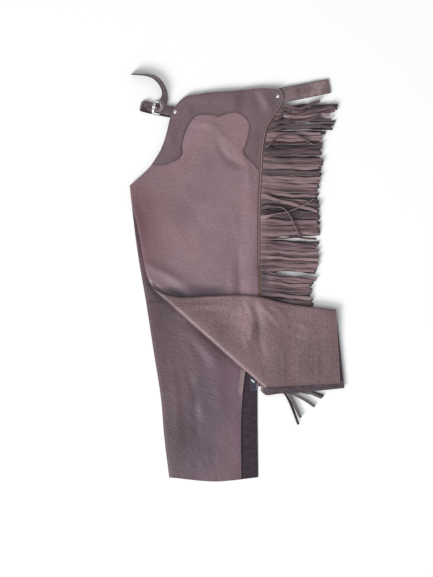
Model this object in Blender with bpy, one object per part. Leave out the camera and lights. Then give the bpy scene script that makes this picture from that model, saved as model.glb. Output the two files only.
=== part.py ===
"""A pair of fringed leather chaps, folded down the middle and laid flat.

The upper leg lies on the lower leg, and its shin is folded over to the side.
Layout values are millimetres: x runs right from the crotch corner, y runs up
from the hem, z runs up from the surface that the pair lies on.
"""

import math

import bpy
import numpy as np

MM = 0.001
CENTRE = (278.3, 529.5)

# Leather and its layers
LEATHER = 2.0
LAYER_GAP = 0.4
LEG_GAP = 0.7
SEAM_GAP = 0.3
YOKE = 1.8
PATCH_GAP = 0.6
FOLD_REACH = 6.0
TOP_DROP = 2.3
ZIP_RISE = 1.5

# Lines of the cut: knee seam, crotch corner and the edges down each leg
KNEE_Y = 468.0
CROTCH_Y = 767.0

WAIST = [
    # x, y
    (0, 767), (56, 820), (79, 857), (93, 894), (102, 931), (107, 950), (123, 978),
    (139, 994), (186, 1005), (265, 1012), (362, 1020), (385, 1017), (397, 996),
]
SEAT = [
    # x, y
    (0, 767), (78, 803), (182, 840), (273, 887), (317, 926),
]
INSEAM = {
    # y, x
    "under": [(10, 102), (117, 89), (211, 81), (341, 61), (471, 41), (575, 23), (679, 9), (767, 0)],
    "over": [
        (34, 168), (169, 134), (234, 110), (346, 95), (447, 85), (486, 68), (528, 47),
        (575, 35), (632, 25), (673, 17), (715, 6), (767, 0),
    ],
}
OUTSEAM = {
    # y, x
    ("under", "front"): [(10, 333), (231, 331), (468, 334), (801, 335), (875, 340), (917, 349),
                         (950, 368), (978, 387), (996, 397)],
    ("over", "front"): [(36, 373), (88, 372), (192, 368), (250, 359), (354, 343), (468, 334),
                        (801, 335), (875, 340), (917, 349), (950, 368), (978, 387), (996, 397)],
    ("under", "back"): [(6, 289), (227, 293), (283, 300), (367, 309), (468, 317), (926, 317)],
    ("over", "back"): [(46, 359), (248, 343), (354, 328), (468, 317), (926, 317)],
}
HEM = {
    # x, y
    ("under", "front"): [(102, 10), (239, 0), (333, 10)],
    ("under", "back"): [(102, 10), (239, 0), (289, 6)],
    ("over", "front"): [(168, 34), (373, 36)],
    ("over", "back"): [(168, 34), (359, 46)],
}

# Fold of the upper shin: its axis, its bend and how it settles on what is below
AXIS_POINT = np.array([170.0, 414.0])
AXIS_SLOPE = math.radians(-41.65)
AXIS_HEIGHT = 15.0
BEND_RADIUS = 6.0
SETTLE = 70.0
REST_GAP = 0.6
FLARE = 19.0
FLARE_RUN = (226.0, 241.0)
FLARE_TURN = 1.2
FLARE_WIDTH = 14.0

# Where the layers rise or fall smoothly: each span goes from its start to its end
PUFF = {"under": 1.5, "over": 3.0}
PUFF_WIDTH = 42.0
PUFF_SPAN = (787.0, 647.0)
YOKE_SPAN = (730.0, 805.0)
SEAT_SPAN = (0.0, 100.0)
HIP_SPAN = (300.0, 360.0)
STRAP_END = (118.0, 958.0)
STRAP_SPAN = (130.0, 30.0)
ZIP_SPAN_X = (284.0, 310.0)
ZIP_SPAN_Y = (800.0, 680.0)
FRINGE_PEAK = 14.2
FRINGE_FALL = 5.0
FRINGE_SPAN = (15.0, 90.0)
EDGE_SPAN = (-9.0, 11.0)
FLOOR_FALL = 4.5
FLOOR_SPAN = (500.0, 580.0)
FLARE_SPAN = (-10.0, 3.0)
FLARE_HOLD = 1.0

# Soft ridges that stand on the panels
RIDGES = {
    "over": [
        # x, y, direction in degrees, half length, half width, height
        (108, 527, -28, 62, 20, 2.4),
        (250, 640, 80, 190, 60, 1.2),
        (302, 545, 90, 75, 13, 1.0),
    ],
    "under": [
        (190, 345, -38, 70, 22, 1.4),
        (235, 150, 95, 150, 40, 1.6),
    ],
    "folded": [
        (275, 405, 80, 55, 20, 2.4),
        (318, 398, 72, 48, 13, 2.2),
        (350, 425, 105, 45, 12, 2.0),
        (215, 445, 4, 70, 14, 2.0),
        (455, 340, 88, 110, 26, 1.2),
        (515, 350, 88, 100, 18, 1.0),
    ],
}

# Fringe
PITCH = 8.0
STRAND_WIDTH = 7.2
STRAND = 1.6
BAND = 9.0
CURVE_ROOM = 1.6
CURVE_SPANS = [(810.0, 840.0), (455.0, 425.0)]
LEVEL_RISE = 1.9
FRINGE_TOP = {"over": 978.0, "under": 974.0}
FRINGE_END = {"over": 262.0, "under": 245.0}
FRINGE_OUTLINE = [
    # y, x of the tips
    (200, 500), (224, 502), (455, 477), (533, 478), (549, 487), (615, 490), (640, 492),
    (780, 493), (826, 500), (890, 500), (902, 501), (914, 526), (932, 531), (940, 508), (952, 508),
    (960, 534), (990, 536),
]
FRINGE_GAPS = [
    # y, half opening, reach along the seam
    (630, 7.4, 26), (543, 7.0, 25), (842, 3.0, 20), (809, 3.0, 20), (489, 2.6, 18),
]
FRINGE_DROOP = [
    # y of the root, shift of the tip
    (220, 0), (430, -3), (480, -7), (540, -9), (590, -7), (626, 0), (640, 0), (690, -9), (745, -10),
    (800, -3), (850, -2), (890, -1), (930, 3), (978, 8),
]
STATIONS = (10.0, 24.0, 72.0)
FLOOR_LEVEL = {"under": 1.3, "over": 5.9}
LEANING = {
    # y of the root, shifts at 24 mm, at 72 mm and at the tip, x of the tip, level
    "over": [
        (978, -4, -11, -3, 528, 0), (970, -4, -10, 2, 536, 1), (962, -3, -8, 4, 533, 0),
        (954, -2, -5, 3, 520, 1), (946, 6, 26, 44, 494, 2), (930, 6, 26, 50, 528, 2),
        (914, 3, 16, 50, 520, 2),
        (874, 12, 28, 0, 478, 2), (746, -6, -21, -40, 487, 3), (714, 0, -16, -76, 441, 3),
        (686, 2, 13, 44, 478, 2),
    ],
    "under": [
        (282, -3, -32, -64, 500, 1), (274, -3, -30, -51, 504, 0), (266, -4, -31, -71, 481, 1),
        (258, -4, -36, -92, 445, 1), (250, -4, -38, -102, 439, 0),
    ],
}
SCALLOP = [
    # x, y
    (57, 823), (86, 821), (109, 829), (130, 842), (133, 847), (133, 863), (138, 892), (148, 918),
    (159, 936), (172, 948), (192, 952), (218, 950), (228, 946), (238, 950), (250, 954), (276, 957),
    (296, 946), (308, 931), (308, 900), (299, 868), (294, 854), (296, 849), (317, 827), (336, 803),
]
YOKE_EDGE = [
    # x, y
    (59, 824), (79, 857), (93, 894), (102, 931), (107, 950), (123, 978), (139, 994), (186, 1005),
    (265, 1012), (362, 1020), (385, 1017), (397, 996), (392, 978), (374, 950), (355, 917),
    (346, 875), (341, 803),
]

# Zip between the halves of each leg at the outseam
ZIP_WIDTH = 17.0
ZIP_INSET = 1.5
TAPE = 1.2
ZIP_RUN = {"under": (237.0, 640.0), "over": (300.0, 640.0)}
ZIP_BOX_PLACE = (319.5, 260.5)
ZIP_BOX_SIZE = (12.0, 4.5, 2.4)
GUARD_WIDTH = 12.0
GUARD = 1.0
GUARD_RUN = (223.0, 290.0)

# Straps, buckle and rivets
STRAP = 2.2
BELT_WIDTH = 36.0
LACE_WIDTH = 24.0
BELT_LINE = [
    # x, y, z, heading of the width, lean
    (366, 997, 8.0, 100.5, 0), (392, 1002, 8.0, 100.5, 0), (410, 1005.5, 8.0, 100.5, 0),
    (440, 1011, 6.6, 100.5, 0), (500, 1022.5, 5.6, 100.5, 0), (514, 1025, 5.2, 100.5, 0),
    (518, 1025.8, 3.4, 100.5, 0), (514, 1025, 1.6, 100.5, 0), (500, 1022, 1.4, 100.5, 0),
    (460, 1014, 1.5, 100.5, 0), (436, 1009, 2.6, 100.5, 0), (410, 1004.5, 5.5, 100.5, 0),
    (392, 1001, 5.55, 100.5, 0), (366, 996, 5.55, 100.5, 0),
]
BUCKLE_STRAP_LINE = [
    # x, y, z, heading of the width, lean
    (128, 957, 7.95, 80, 0), (108, 961, 7.9, 80, 0), (96, 963.5, 7.3, 80, 0), (85, 966, 7.0, 80, 0),
]
TONGUE_LINE = [
    # x, y, z, heading of the width, lean
    (128, 952, 5.55, 78, 0), (106, 956, 5.5, 78, 0), (90, 959, 3.6, 78, 0), (76, 962, 1.9, 78, 0),
    (57, 966, 1.4, 78, 0), (42, 969.5, 1.4, 78, 0), (33, 972, 2.4, 78, -4), (28.6, 974.2, 6.6, 78, -12),
    (33, 975.2, 10.4, 78, -18), (42, 974.6, 10.6, 78, -16), (51, 972.4, 7.2, 78, -8),
    (59, 970.8, 4.0, 78, 0), (66.5, 970, 3.9, 79, 0), (72, 969.6, 7.0, 83, 0),
    (78.4, 971, 11.6, 104, 4), (84, 978, 16.0, 140, 24),
    (88.5, 988, 15.4, 165, 42), (91, 1000, 12.6, 180, 55), (90.5, 1010, 11.6, 190, 58),
    (87, 1021, 11.4, 204, 58), (80.5, 1032.5, 11.4, 217, 58), (71.5, 1042.5, 11.5, 232, 58),
    (60, 1049.5, 11.8, 248, 62), (46.8, 1053, 12.2, 262, 68), (26, 1054.6, 12.6, 268, 74),
    (4.7, 1055.6, 12.8, 270, 76),
]
BUCKLE_PLACE = (70.6, 969.0, 7.0)
BUCKLE_HEADING = -12.0
BUCKLE_SIZE = (24.0, 33.0)
BUCKLE_BAR = 3.0
BUCKLE_PLATE = 7.5
BUCKLE_THICK = 2.6
PRONG_LENGTH = 11.0
RIVET_RADIUS = 4.3
RIVET_HEIGHT = 1.8
RIVETS = {"rivet_front": (118.0, 958.0), "rivet_hip": (384.0, 998.0)}

LEATHER_COLOUR = (0.24, 0.165, 0.184)
SHIN_COLOUR = (0.16, 0.108, 0.13)
YOKE_COLOUR = (0.18, 0.13, 0.145)
FRINGE_COLOUR = (0.19, 0.135, 0.15)
STRAP_COLOUR = (0.14, 0.103, 0.11)
METAL_COLOUR = (0.75, 0.75, 0.77)
TAPE_COLOUR = (0.06, 0.055, 0.075)


def ease(value):
    """Smooth step from 0 to 1."""
    value = np.clip(value, 0.0, 1.0)
    return value * value * (3.0 - 2.0 * value)


def ramp(value, span):
    """Smooth step from 0 at the span's start to 1 at its end."""
    return ease((value - span[0]) / (span[1] - span[0]))


def through(rows, at):
    """Smooth line through rows of (place, value), read at the places given."""
    places = np.array([row[0] for row in rows], float)
    values = np.array([row[1:] for row in rows], float)
    slopes = np.gradient(values, places, axis=0) if len(places) > 2 else np.repeat(
        (values[1:] - values[:1]) / (places[1] - places[0]), 2, axis=0)
    at = np.asarray(at, float)
    index = np.clip(np.searchsorted(places, at) - 1, 0, len(places) - 2)
    step = (places[index + 1] - places[index])[..., None]
    share = np.clip((at - places[index]) / step[..., 0], 0.0, 1.0)[..., None]
    rise = values[index + 1] - values[index]
    line = values[index] + rise * share * share * (3.0 - 2.0 * share)
    line = line + step * share * (1.0 - share) * (
        slopes[index] * (1.0 - share) - slopes[index + 1] * share)
    past = (at - np.clip(at, places[0], places[-1]))[..., None]
    line = line + past * np.where(past < 0.0, slopes[0], slopes[-1])
    return line[..., 0] if line.shape[-1] == 1 else line


def along(points, shares):
    """Points at the given shares of the length of a smooth line."""
    points = np.array(points, float)
    steps = np.linalg.norm(np.diff(points, axis=0), axis=1)
    places = np.concatenate([[0.0], np.cumsum(steps)]) / steps.sum()
    return through(np.column_stack([places, points]), shares)


def inseam(leg, y):
    """Middle of the leather at the inseam fold."""
    return through(INSEAM[leg], np.clip(y, 0.0, CROTCH_Y)) + LEATHER / 2


def ridge_height(rows, x, y):
    """Height of the soft ridges at a place."""
    height = np.zeros(np.shape(x))
    for cx, cy, angle, half_length, half_width, rise in rows:
        c = math.cos(math.radians(angle))
        s = math.sin(math.radians(angle))
        u = (x - cx) * c + (y - cy) * s
        v = (y - cy) * c - (x - cx) * s
        height = height + rise * np.exp(-((u / half_length) ** 2) - (v / half_width) ** 2)
    return height


def strap_room(x, y):
    """Where straps lie between the two fronts and hold them apart."""
    distance = np.hypot(x - STRAP_END[0], y - STRAP_END[1])
    return np.maximum(ramp(x, HIP_SPAN), ramp(distance, STRAP_SPAN))


def seat_height(x):
    """Height of the seat edge of the back halves at x."""
    return through(SEAT, np.clip(x, 0.0, SEAT[-1][0]))


def puff(leg, x, y):
    """Roundness that the inseam fold keeps between its two halves."""
    inward = np.maximum(x - inseam(leg, y), 0.0)
    return PUFF[leg] * np.exp(-((inward / PUFF_WIDTH) ** 2)) * ramp(y, PUFF_SPAN)


def zip_rise(x, y):
    """Bump over the zip, which lies between the halves at the outseam."""
    return ZIP_RISE * ramp(x, ZIP_SPAN_X) * ramp(y, ZIP_SPAN_Y)


def lower_leg_heights(x, y):
    """Middles of the lower leg's front half, on the floor, and back half, on it."""
    yoke_lift = (YOKE + SEAM_GAP) * ramp(y, YOKE_SPAN)
    low = LEATHER / 2 + yoke_lift
    high = low + LEATHER + LAYER_GAP + puff("under", x, y) + zip_rise(x, y)
    return low, high + ridge_height(RIDGES["under"], x, y)


def upper_leg_heights(x, y):
    """Middles of the upper leg's back half and front half, lying on the lower leg."""
    low = lower_leg_heights(x, y)[1] + LEATHER + LEG_GAP
    above_seat = ramp(y - seat_height(x), SEAT_SPAN)
    drop = TOP_DROP * above_seat * (1.0 - strap_room(x, y))
    high = low + LEATHER + LAYER_GAP + puff("over", x, y) + zip_rise(x, y) - drop
    return low, high + ridge_height(RIDGES["over"], x, y)


def fold_place(x, y):
    """Distance past the fold axis, and distance along it."""
    across = (math.sin(AXIS_SLOPE), -math.cos(AXIS_SLOPE))
    dx = x - AXIS_POINT[0]
    dy = y - AXIS_POINT[1]
    return dx * across[0] + dy * across[1], dx * math.cos(AXIS_SLOPE) + dy * math.sin(AXIS_SLOPE)


def support_height(x, y):
    """Top of what the folded shin lies on: the upper leg, its fringe, then the floor."""
    leg_top = upper_leg_heights(x, y)[1] + LEATHER / 2
    outside = x - through(OUTSEAM["over", "front"], y)
    fringe = FRINGE_PEAK - FRINGE_FALL * ramp(outside, FRINGE_SPAN)
    beyond = fringe - FLOOR_FALL * ramp(x, FLOOR_SPAN)
    return leg_top + (beyond - leg_top) * ramp(outside, EDGE_SPAN)


def flare(half, past, length):
    """Outward turn of the front half's loose edge strip at the end of the fold."""
    if half == "back":
        return past * 0.0
    shift = FLARE * ramp(length - FLARE_TURN * past, FLARE_RUN) * ramp(past, FLARE_SPAN)
    return shift * np.exp(-((np.maximum(past - FLARE_HOLD, 0.0) / FLARE_WIDTH) ** 2))


def fold_over(half, x, y, z, grain):
    """Turn what lies past the fold axis over, and settle it on what is below."""
    past, length = fold_place(x, y)
    across = np.array([math.sin(AXIS_SLOPE), -math.cos(AXIS_SLOPE)])
    radius = AXIS_HEIGHT - z
    turn = np.clip(past / BEND_RADIUS, 0.0, math.pi)
    over = np.maximum(past - math.pi * BEND_RADIUS, 0.0)
    reach = np.minimum(past, 0.0) + radius * np.sin(turn) - over + flare(half, past, length)
    px = x + (reach - past) * across[0]
    py = y + (reach - past) * across[1]
    turned = AXIS_HEIGHT - radius * np.cos(turn)
    height = radius - (AXIS_HEIGHT - grain)
    settled = support_height(px, py) + REST_GAP + height + ridge_height(RIDGES["folded"], px, py)
    return px, py, turned + (settled - turned) * ease(over / SETTLE)


def leg_surface(leg, half, x, y, near, offset):
    """Place points of a leg's leather; near is the distance from the inseam."""
    side = 1.0 if (leg, half) in (("over", "front"), ("under", "back")) else -1.0
    if leg == "over":
        inside = np.maximum(fold_place(x, y)[0], 0.0)
        bx = x - inside * math.sin(AXIS_SLOPE)
        by = y + inside * math.cos(AXIS_SLOPE)
        low, high = upper_leg_heights(bx, by)
        open_up = puff(leg, x, y) - puff(leg, bx, by)
        high = high + np.maximum(open_up, 0.0)
    else:
        low, high = lower_leg_heights(x, y)
    turn = math.pi / 2 * np.clip(near / FOLD_REACH, 0.0, 1.0)
    middle = (low + high) / 2
    half_height = (high - low) / 2
    z = middle + side * (half_height + offset) * np.sin(turn)
    edge = inseam(leg, y)
    rounded = edge + FOLD_REACH - (FOLD_REACH + offset) * np.cos(turn)
    px = np.where(near < FOLD_REACH, rounded, x)
    if leg == "over":
        return fold_over(half, px, y, z, high + LEATHER / 2)
    return px, y, z


def four_sides(near, far, start, end, c, t):
    """Point grid between four side lines; c runs across, t runs along."""
    c = c[..., None]
    t = t[..., None]
    corners = [near(np.zeros(1)), near(np.ones(1)), far(np.zeros(1)), far(np.ones(1))]
    sides = near(t[..., 0]) * (1 - c) + far(t[..., 0]) * c
    ends = start(c[..., 0]) * (1 - t) + end(c[..., 0]) * t
    blend = (corners[0] * (1 - t) + corners[1] * t) * (1 - c)
    blend = blend + (corners[2] * (1 - t) + corners[3] * t) * c
    return sides + ends - blend


def thigh_sides(leg, half):
    """Side lines of a thigh half, from the knee seam up."""
    knee = KNEE_Y + SEAM_GAP / 2
    top = WAIST if half == "front" else SEAT
    first = float(through(top[:3], FOLD_REACH))
    corner = np.array(top[-1], float)
    top_line = [(FOLD_REACH + LEATHER / 2, first)] + [row for row in top[1:]]

    def near(t):
        y = knee + (first - knee) * t
        return np.stack([inseam(leg, y) + FOLD_REACH, y], axis=-1)

    def far(t):
        y = knee + (corner[1] - knee) * t
        return np.stack([through(OUTSEAM[leg, half], y), y], axis=-1)

    def start(c):
        a, b = near(np.zeros(1)), far(np.zeros(1))
        return a + (b - a) * np.asarray(c)[..., None]

    def end(c):
        return along(top_line, c)

    return near, far, start, end


def shin_sides(leg, half):
    """Side lines of a shin half, from the knee seam down."""
    knee = KNEE_Y - SEAM_GAP / 2
    hem = HEM[leg, half]
    first = float(hem[0][1])

    def near(t):
        y = knee + (first - knee) * t
        return np.stack([inseam(leg, y) + FOLD_REACH, y], axis=-1)

    def far(t):
        y = knee + (hem[-1][1] - knee) * t
        return np.stack([through(OUTSEAM[leg, half], y), y], axis=-1)

    def start(c):
        a, b = near(np.zeros(1)), far(np.zeros(1))
        return a + (b - a) * np.asarray(c)[..., None]

    def end(c):
        a, b = near(np.ones(1))[0], far(np.ones(1))[0]
        x = a[0] + (b[0] - a[0]) * np.asarray(c)
        return np.stack([x, through(hem, x)], axis=-1)

    return near, far, start, end


def row_shares(sides, c, rows, keys, least):
    """Row places for each column, with rows at the key distances past the fold axis."""
    if not keys:
        return np.repeat(np.asarray(rows)[:, None], len(c), axis=1)
    fine = np.linspace(0.0, 1.0, 240)
    grid_t, grid_c = np.meshgrid(fine, c, indexing="ij")
    points = four_sides(*sides, grid_c, grid_t)
    past = fold_place(points[..., 0], points[..., 1])[0]
    shares = np.zeros((len(keys) + len(rows), len(c)))
    for column in range(len(c)):
        line = past[:, column]
        order = np.argsort(line)
        places = np.interp(keys, line[order], fine[order])
        places = np.sort(places)
        for k, place in enumerate(places):
            before = shares[k - 1, column] + least if k else 0.0
            shares[k, column] = max(place, before) if k else 0.0
        last = shares[len(keys) - 1, column]
        shares[len(keys):, column] = last + (1.0 - last) * np.asarray(rows)
    return shares


def leg_grid(leg, sides_of, columns, near_columns, rows, keys, least, offset):
    """Point grid of a whole wrapped piece, from the front outseam to the back outseam."""
    blocks = []
    for half in ("front", "back"):
        sides = sides_of(leg, half)
        c = np.asarray(columns, float)
        t = row_shares(sides, c, rows, keys, least)
        grid = four_sides(*sides, np.broadcast_to(c, t.shape), t)
        x, y = grid[..., 0], grid[..., 1]
        blocks.append(np.stack(leg_surface(leg, half, x, y, x * 0 + FOLD_REACH, offset), -1))
        folds = []
        for near in near_columns:
            share = near / FOLD_REACH
            middle_y = fold_row(sides, y[:, :1])
            fy = middle_y + (y[:, :1] - middle_y) * share
            fx = inseam(leg, fy) + near
            folds.append(np.stack(leg_surface(leg, half, fx, fy, fx * 0 + near, offset), -1))
        blocks.append(np.concatenate(folds, axis=1))
    front, front_fold, back, back_fold = blocks
    return np.concatenate([front[:, ::-1], front_fold[:, ::-1], back_fold[:, 1:], back], axis=1)


def fold_row(sides, y):
    """Height of a row where it meets the inseam fold: the crotch corner sits lower."""
    start = sides[0](np.zeros(1))[0, 1]
    end = sides[0](np.ones(1))[0, 1]
    share = (y - start) / (end - start)
    goal = CROTCH_Y if end > start else end
    return start + (goal - start) * share


def wall(outer, inner):
    """Closed wall between two point grids of the same shape."""
    rows, columns = outer.shape[:2]
    count = rows * columns
    points = np.concatenate([outer.reshape(-1, 3), inner.reshape(-1, 3)])
    number = np.arange(count).reshape(rows, columns)
    faces = []
    for i in range(rows - 1):
        for j in range(columns - 1):
            a, b, c, d = number[i, j], number[i, j + 1], number[i + 1, j + 1], number[i + 1, j]
            faces.append((a, b, c, d))
            faces.append((a + count, d + count, c + count, b + count))
    loop = list(number[0, :]) + list(number[1:, -1]) + list(number[-1, -2::-1])
    loop = loop + list(number[-2:0:-1, 0])
    for k, a in enumerate(loop):
        b = loop[(k + 1) % len(loop)]
        faces.append((a, a + count, b + count, b))
    return points, faces


def outward(points, faces):
    """Turn every face over where the body's volume comes out negative."""
    volume = 0.0
    for face in faces:
        a = points[face[0]]
        for k in range(1, len(face) - 1):
            volume += float(np.dot(a, np.cross(points[face[k]], points[face[k + 1]])))
    if volume < 0.0:
        return [tuple(reversed(face)) for face in faces]
    return faces


def material(name, colour, roughness, metallic=0.0):
    """Plain Principled material."""
    made = bpy.data.materials.new(name)
    made.use_nodes = True
    shader = made.node_tree.nodes["Principled BSDF"]
    shader.inputs["Base Color"].default_value = (*colour, 1.0)
    shader.inputs["Roughness"].default_value = roughness
    shader.inputs["Metallic"].default_value = metallic
    return made


def add_body(name, points, faces, colour, roughness=0.55, metallic=0.0, smooth=True):
    """Make one closed named object from layout points."""
    points = np.asarray(points, float)
    faces = outward(points, faces)
    world = (points - np.array([CENTRE[0], CENTRE[1], 0.0])) * MM
    mesh = bpy.data.meshes.new(name)
    mesh.from_pydata([tuple(p) for p in world.tolist()], [], [[int(i) for i in f] for f in faces])
    mesh.materials.append(material(name, colour, roughness, metallic))
    if smooth:
        mesh.shade_smooth()
        mesh.set_sharp_from_angle(angle=math.radians(40))
    made = bpy.data.objects.new(name, mesh)
    bpy.context.scene.collection.objects.link(made)
    return made


def panel_strip(line_a, line_b, count, across, height_of, thickness):
    """Closed strip between two lines, lying on a height function."""
    shares = np.linspace(0.0, 1.0, count)
    a = along(line_a, shares)
    b = along(line_b, shares)
    v = np.linspace(0.0, 1.0, across)[None, :, None]
    plan = a[:, None, :] * (1.0 - v) + b[:, None, :] * v
    base = height_of(plan[..., 0], plan[..., 1])
    low = np.concatenate([plan, base[..., None]], axis=-1)
    high = np.concatenate([plan, base[..., None] + thickness], axis=-1)
    return wall(high, low)


def add_yokes():
    """Scalloped front yoke of each leg."""
    def on_leg(x, y):
        return upper_leg_heights(x, y)[1] + LEATHER / 2 + PATCH_GAP

    def on_floor(x, y):
        return x * 0.0

    for name, height_of in (("yoke_over", on_leg), ("yoke_under", on_floor)):
        body = panel_strip(YOKE_EDGE, SCALLOP, 33, 3, height_of, YOKE)
        add_body(name, *body, YOKE_COLOUR)


def fringe_root(leg, y):
    """Inner edge of the backing strip, just outside the front half's edge."""
    curved = ramp(y, CURVE_SPANS[0]) + ramp(y, CURVE_SPANS[1])
    return through(OUTSEAM[leg, "front"], y) + SEAM_GAP + CURVE_ROOM * curved


def fringe_shift(y):
    """Sideways shift that opens the gaps between strands."""
    shift = np.zeros(np.shape(y))
    for place, opening, reach in FRINGE_GAPS:
        shift = shift + opening * np.sign(y - place) * np.exp(-np.abs(y - place) / reach)
    return shift


def band_height(leg, x, y):
    """Middle of the backing strip, level with the front half that it is sewn to."""
    if leg == "over":
        return upper_leg_heights(x, y)[1]
    return lower_leg_heights(x, y)[0]


def strand_lines(leg, roots, rng):
    """Centre lines of the strands: for each root, points from the strip to the tip."""
    lines = []
    for i, y in enumerate(roots):
        root_x = float(fringe_root(leg, y)) + BAND
        root_z = float(band_height(leg, root_x - BAND, y))
        special = [row for row in LEANING[leg] if y - PITCH / 2 < row[0] <= y + PITCH / 2]
        level = i % 2
        tip_x = float(through(FRINGE_OUTLINE, y)) + rng.uniform(-7.0, 3.0)
        gap = float(fringe_shift(y))
        loose = rng.uniform(-1.6, 1.6, 2)
        droop = float(through(FRINGE_DROOP, y))
        shifts = [0.2 * (gap + droop), 0.85 * gap + 0.55 * droop + loose[0], gap + droop + loose[1]]
        if special:
            shifts = list(special[0][1:4])
            tip_x = special[0][4]
            level = special[0][5]
        places = np.array([0.0, *STATIONS, tip_x - root_x])
        table = np.column_stack([places, [0.0, 0.0, *shifts]])
        if special:
            places = np.concatenate([places[:2], np.linspace(places[2], places[-1], 7)])
        else:
            places = np.delete(places, 1)
        fall = root_z + (FLOOR_LEVEL[leg] - root_z) * ease(places / 70.0)
        z = fall + LEVEL_RISE * level * ease(places / STATIONS[0])
        side = through(table, places)
        lines.append(np.column_stack([root_x + places, y + side, z]))
    return lines


def add_fringe(leg):
    """Strip cut into strands: each strand grows from its own stretch of the strip."""
    rng = np.random.default_rng({"over": 11, "under": 12}[leg])
    count = int((FRINGE_TOP[leg] - FRINGE_END[leg]) / PITCH)
    edges = FRINGE_TOP[leg] - PITCH * np.arange(count + 1)
    roots = (edges[:-1] + edges[1:]) / 2
    inner_x = fringe_root(leg, edges)
    z = band_height(leg, inner_x, edges)
    points = []
    for dx in (0.0, BAND):
        for dz in (-LEATHER / 2, LEATHER / 2):
            points.extend(np.column_stack([inner_x + dx, edges, z + dz]).tolist())
    n = count + 1
    low_in, high_in, low_out, high_out = 0, n, 2 * n, 3 * n
    faces = [
        (low_in, high_in, high_out, low_out),
        (low_in + count, low_out + count, high_out + count, high_in + count),
    ]
    for i in range(count):
        faces.append((high_in + i, high_in + i + 1, high_out + i + 1, high_out + i))
        faces.append((low_in + i, low_out + i, low_out + i + 1, low_in + i + 1))
        faces.append((low_in + i, low_in + i + 1, high_in + i + 1, high_in + i))
    for i, line in enumerate(strand_lines(leg, roots, rng)):
        ring = [high_out + i, high_out + i + 1, low_out + i + 1, low_out + i]
        for x, y, height in line[1:]:
            half = STRAND_WIDTH / 2
            start = len(points)
            points.append((x, y + half, height + STRAND / 2))
            points.append((x, y - half, height + STRAND / 2))
            points.append((x, y - half, height - STRAND / 2))
            points.append((x, y + half, height - STRAND / 2))
            new = [start, start + 1, start + 2, start + 3]
            for k in range(4):
                m = (k + 1) % 4
                faces.append((ring[k], ring[m], new[m], new[k]))
            ring = new
        faces.append(tuple(ring))
    add_body(f"fringe_{leg}", points, faces, FRINGE_COLOUR, smooth=False)


def ribbon(rows, width, thickness, count):
    """Closed strap along a line; each row also gives the heading and lean of its width."""
    rows = np.array(rows, float)
    steps = np.linalg.norm(np.diff(rows[:, :3], axis=0), axis=1)
    places = np.concatenate([[0.0], np.cumsum(steps)]) / steps.sum()
    line = through(np.column_stack([places, rows]), np.linspace(0.0, 1.0, count))
    centre = line[:, :3]
    heading = np.radians(line[:, 3])
    lean = np.radians(line[:, 4])
    across = np.column_stack([
        np.cos(heading) * np.cos(lean), np.sin(heading) * np.cos(lean), np.sin(lean)])
    tangent = np.gradient(centre, axis=0)
    up = np.cross(tangent, across)
    up = up / np.linalg.norm(up, axis=1)[:, None]
    points = []
    for sa, su in ((1, 1), (-1, 1), (-1, -1), (1, -1)):
        points.append(centre + across * sa * width / 2 + up * su * thickness / 2)
    points = np.stack(points, axis=1).reshape(-1, 3)
    faces = [(0, 1, 2, 3), tuple(4 * (count - 1) + k for k in (3, 2, 1, 0))]
    for i in range(count - 1):
        for k in range(4):
            m = (k + 1) % 4
            faces.append((4 * i + k, 4 * i + 4 + k, 4 * i + 4 + m, 4 * i + m))
    return points, faces


def add_straps():
    """Back belt, doubled under its end, and the two halves of the front strap."""
    add_body("belt_back", *ribbon(BELT_LINE, BELT_WIDTH, STRAP, 34), STRAP_COLOUR)
    add_body("strap_buckle", *ribbon(BUCKLE_STRAP_LINE, LACE_WIDTH, STRAP, 8), STRAP_COLOUR)
    add_body("strap_tongue", *ribbon(TONGUE_LINE, LACE_WIDTH, STRAP, 64), STRAP_COLOUR)


def boxed(size, place, heading):
    """Corner points and faces of a box turned about the vertical."""
    c = math.cos(math.radians(heading))
    s = math.sin(math.radians(heading))
    points = []
    for dz in (-0.5, 0.5):
        for dx, dy in ((-0.5, -0.5), (0.5, -0.5), (0.5, 0.5), (-0.5, 0.5)):
            u, v = dx * size[0], dy * size[1]
            points.append((place[0] + u * c - v * s, place[1] + u * s + v * c, place[2] + dz * size[2]))
    faces = [(3, 2, 1, 0), (4, 5, 6, 7), (0, 1, 5, 4), (1, 2, 6, 5), (2, 3, 7, 6), (3, 0, 4, 7)]
    return points, faces


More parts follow.
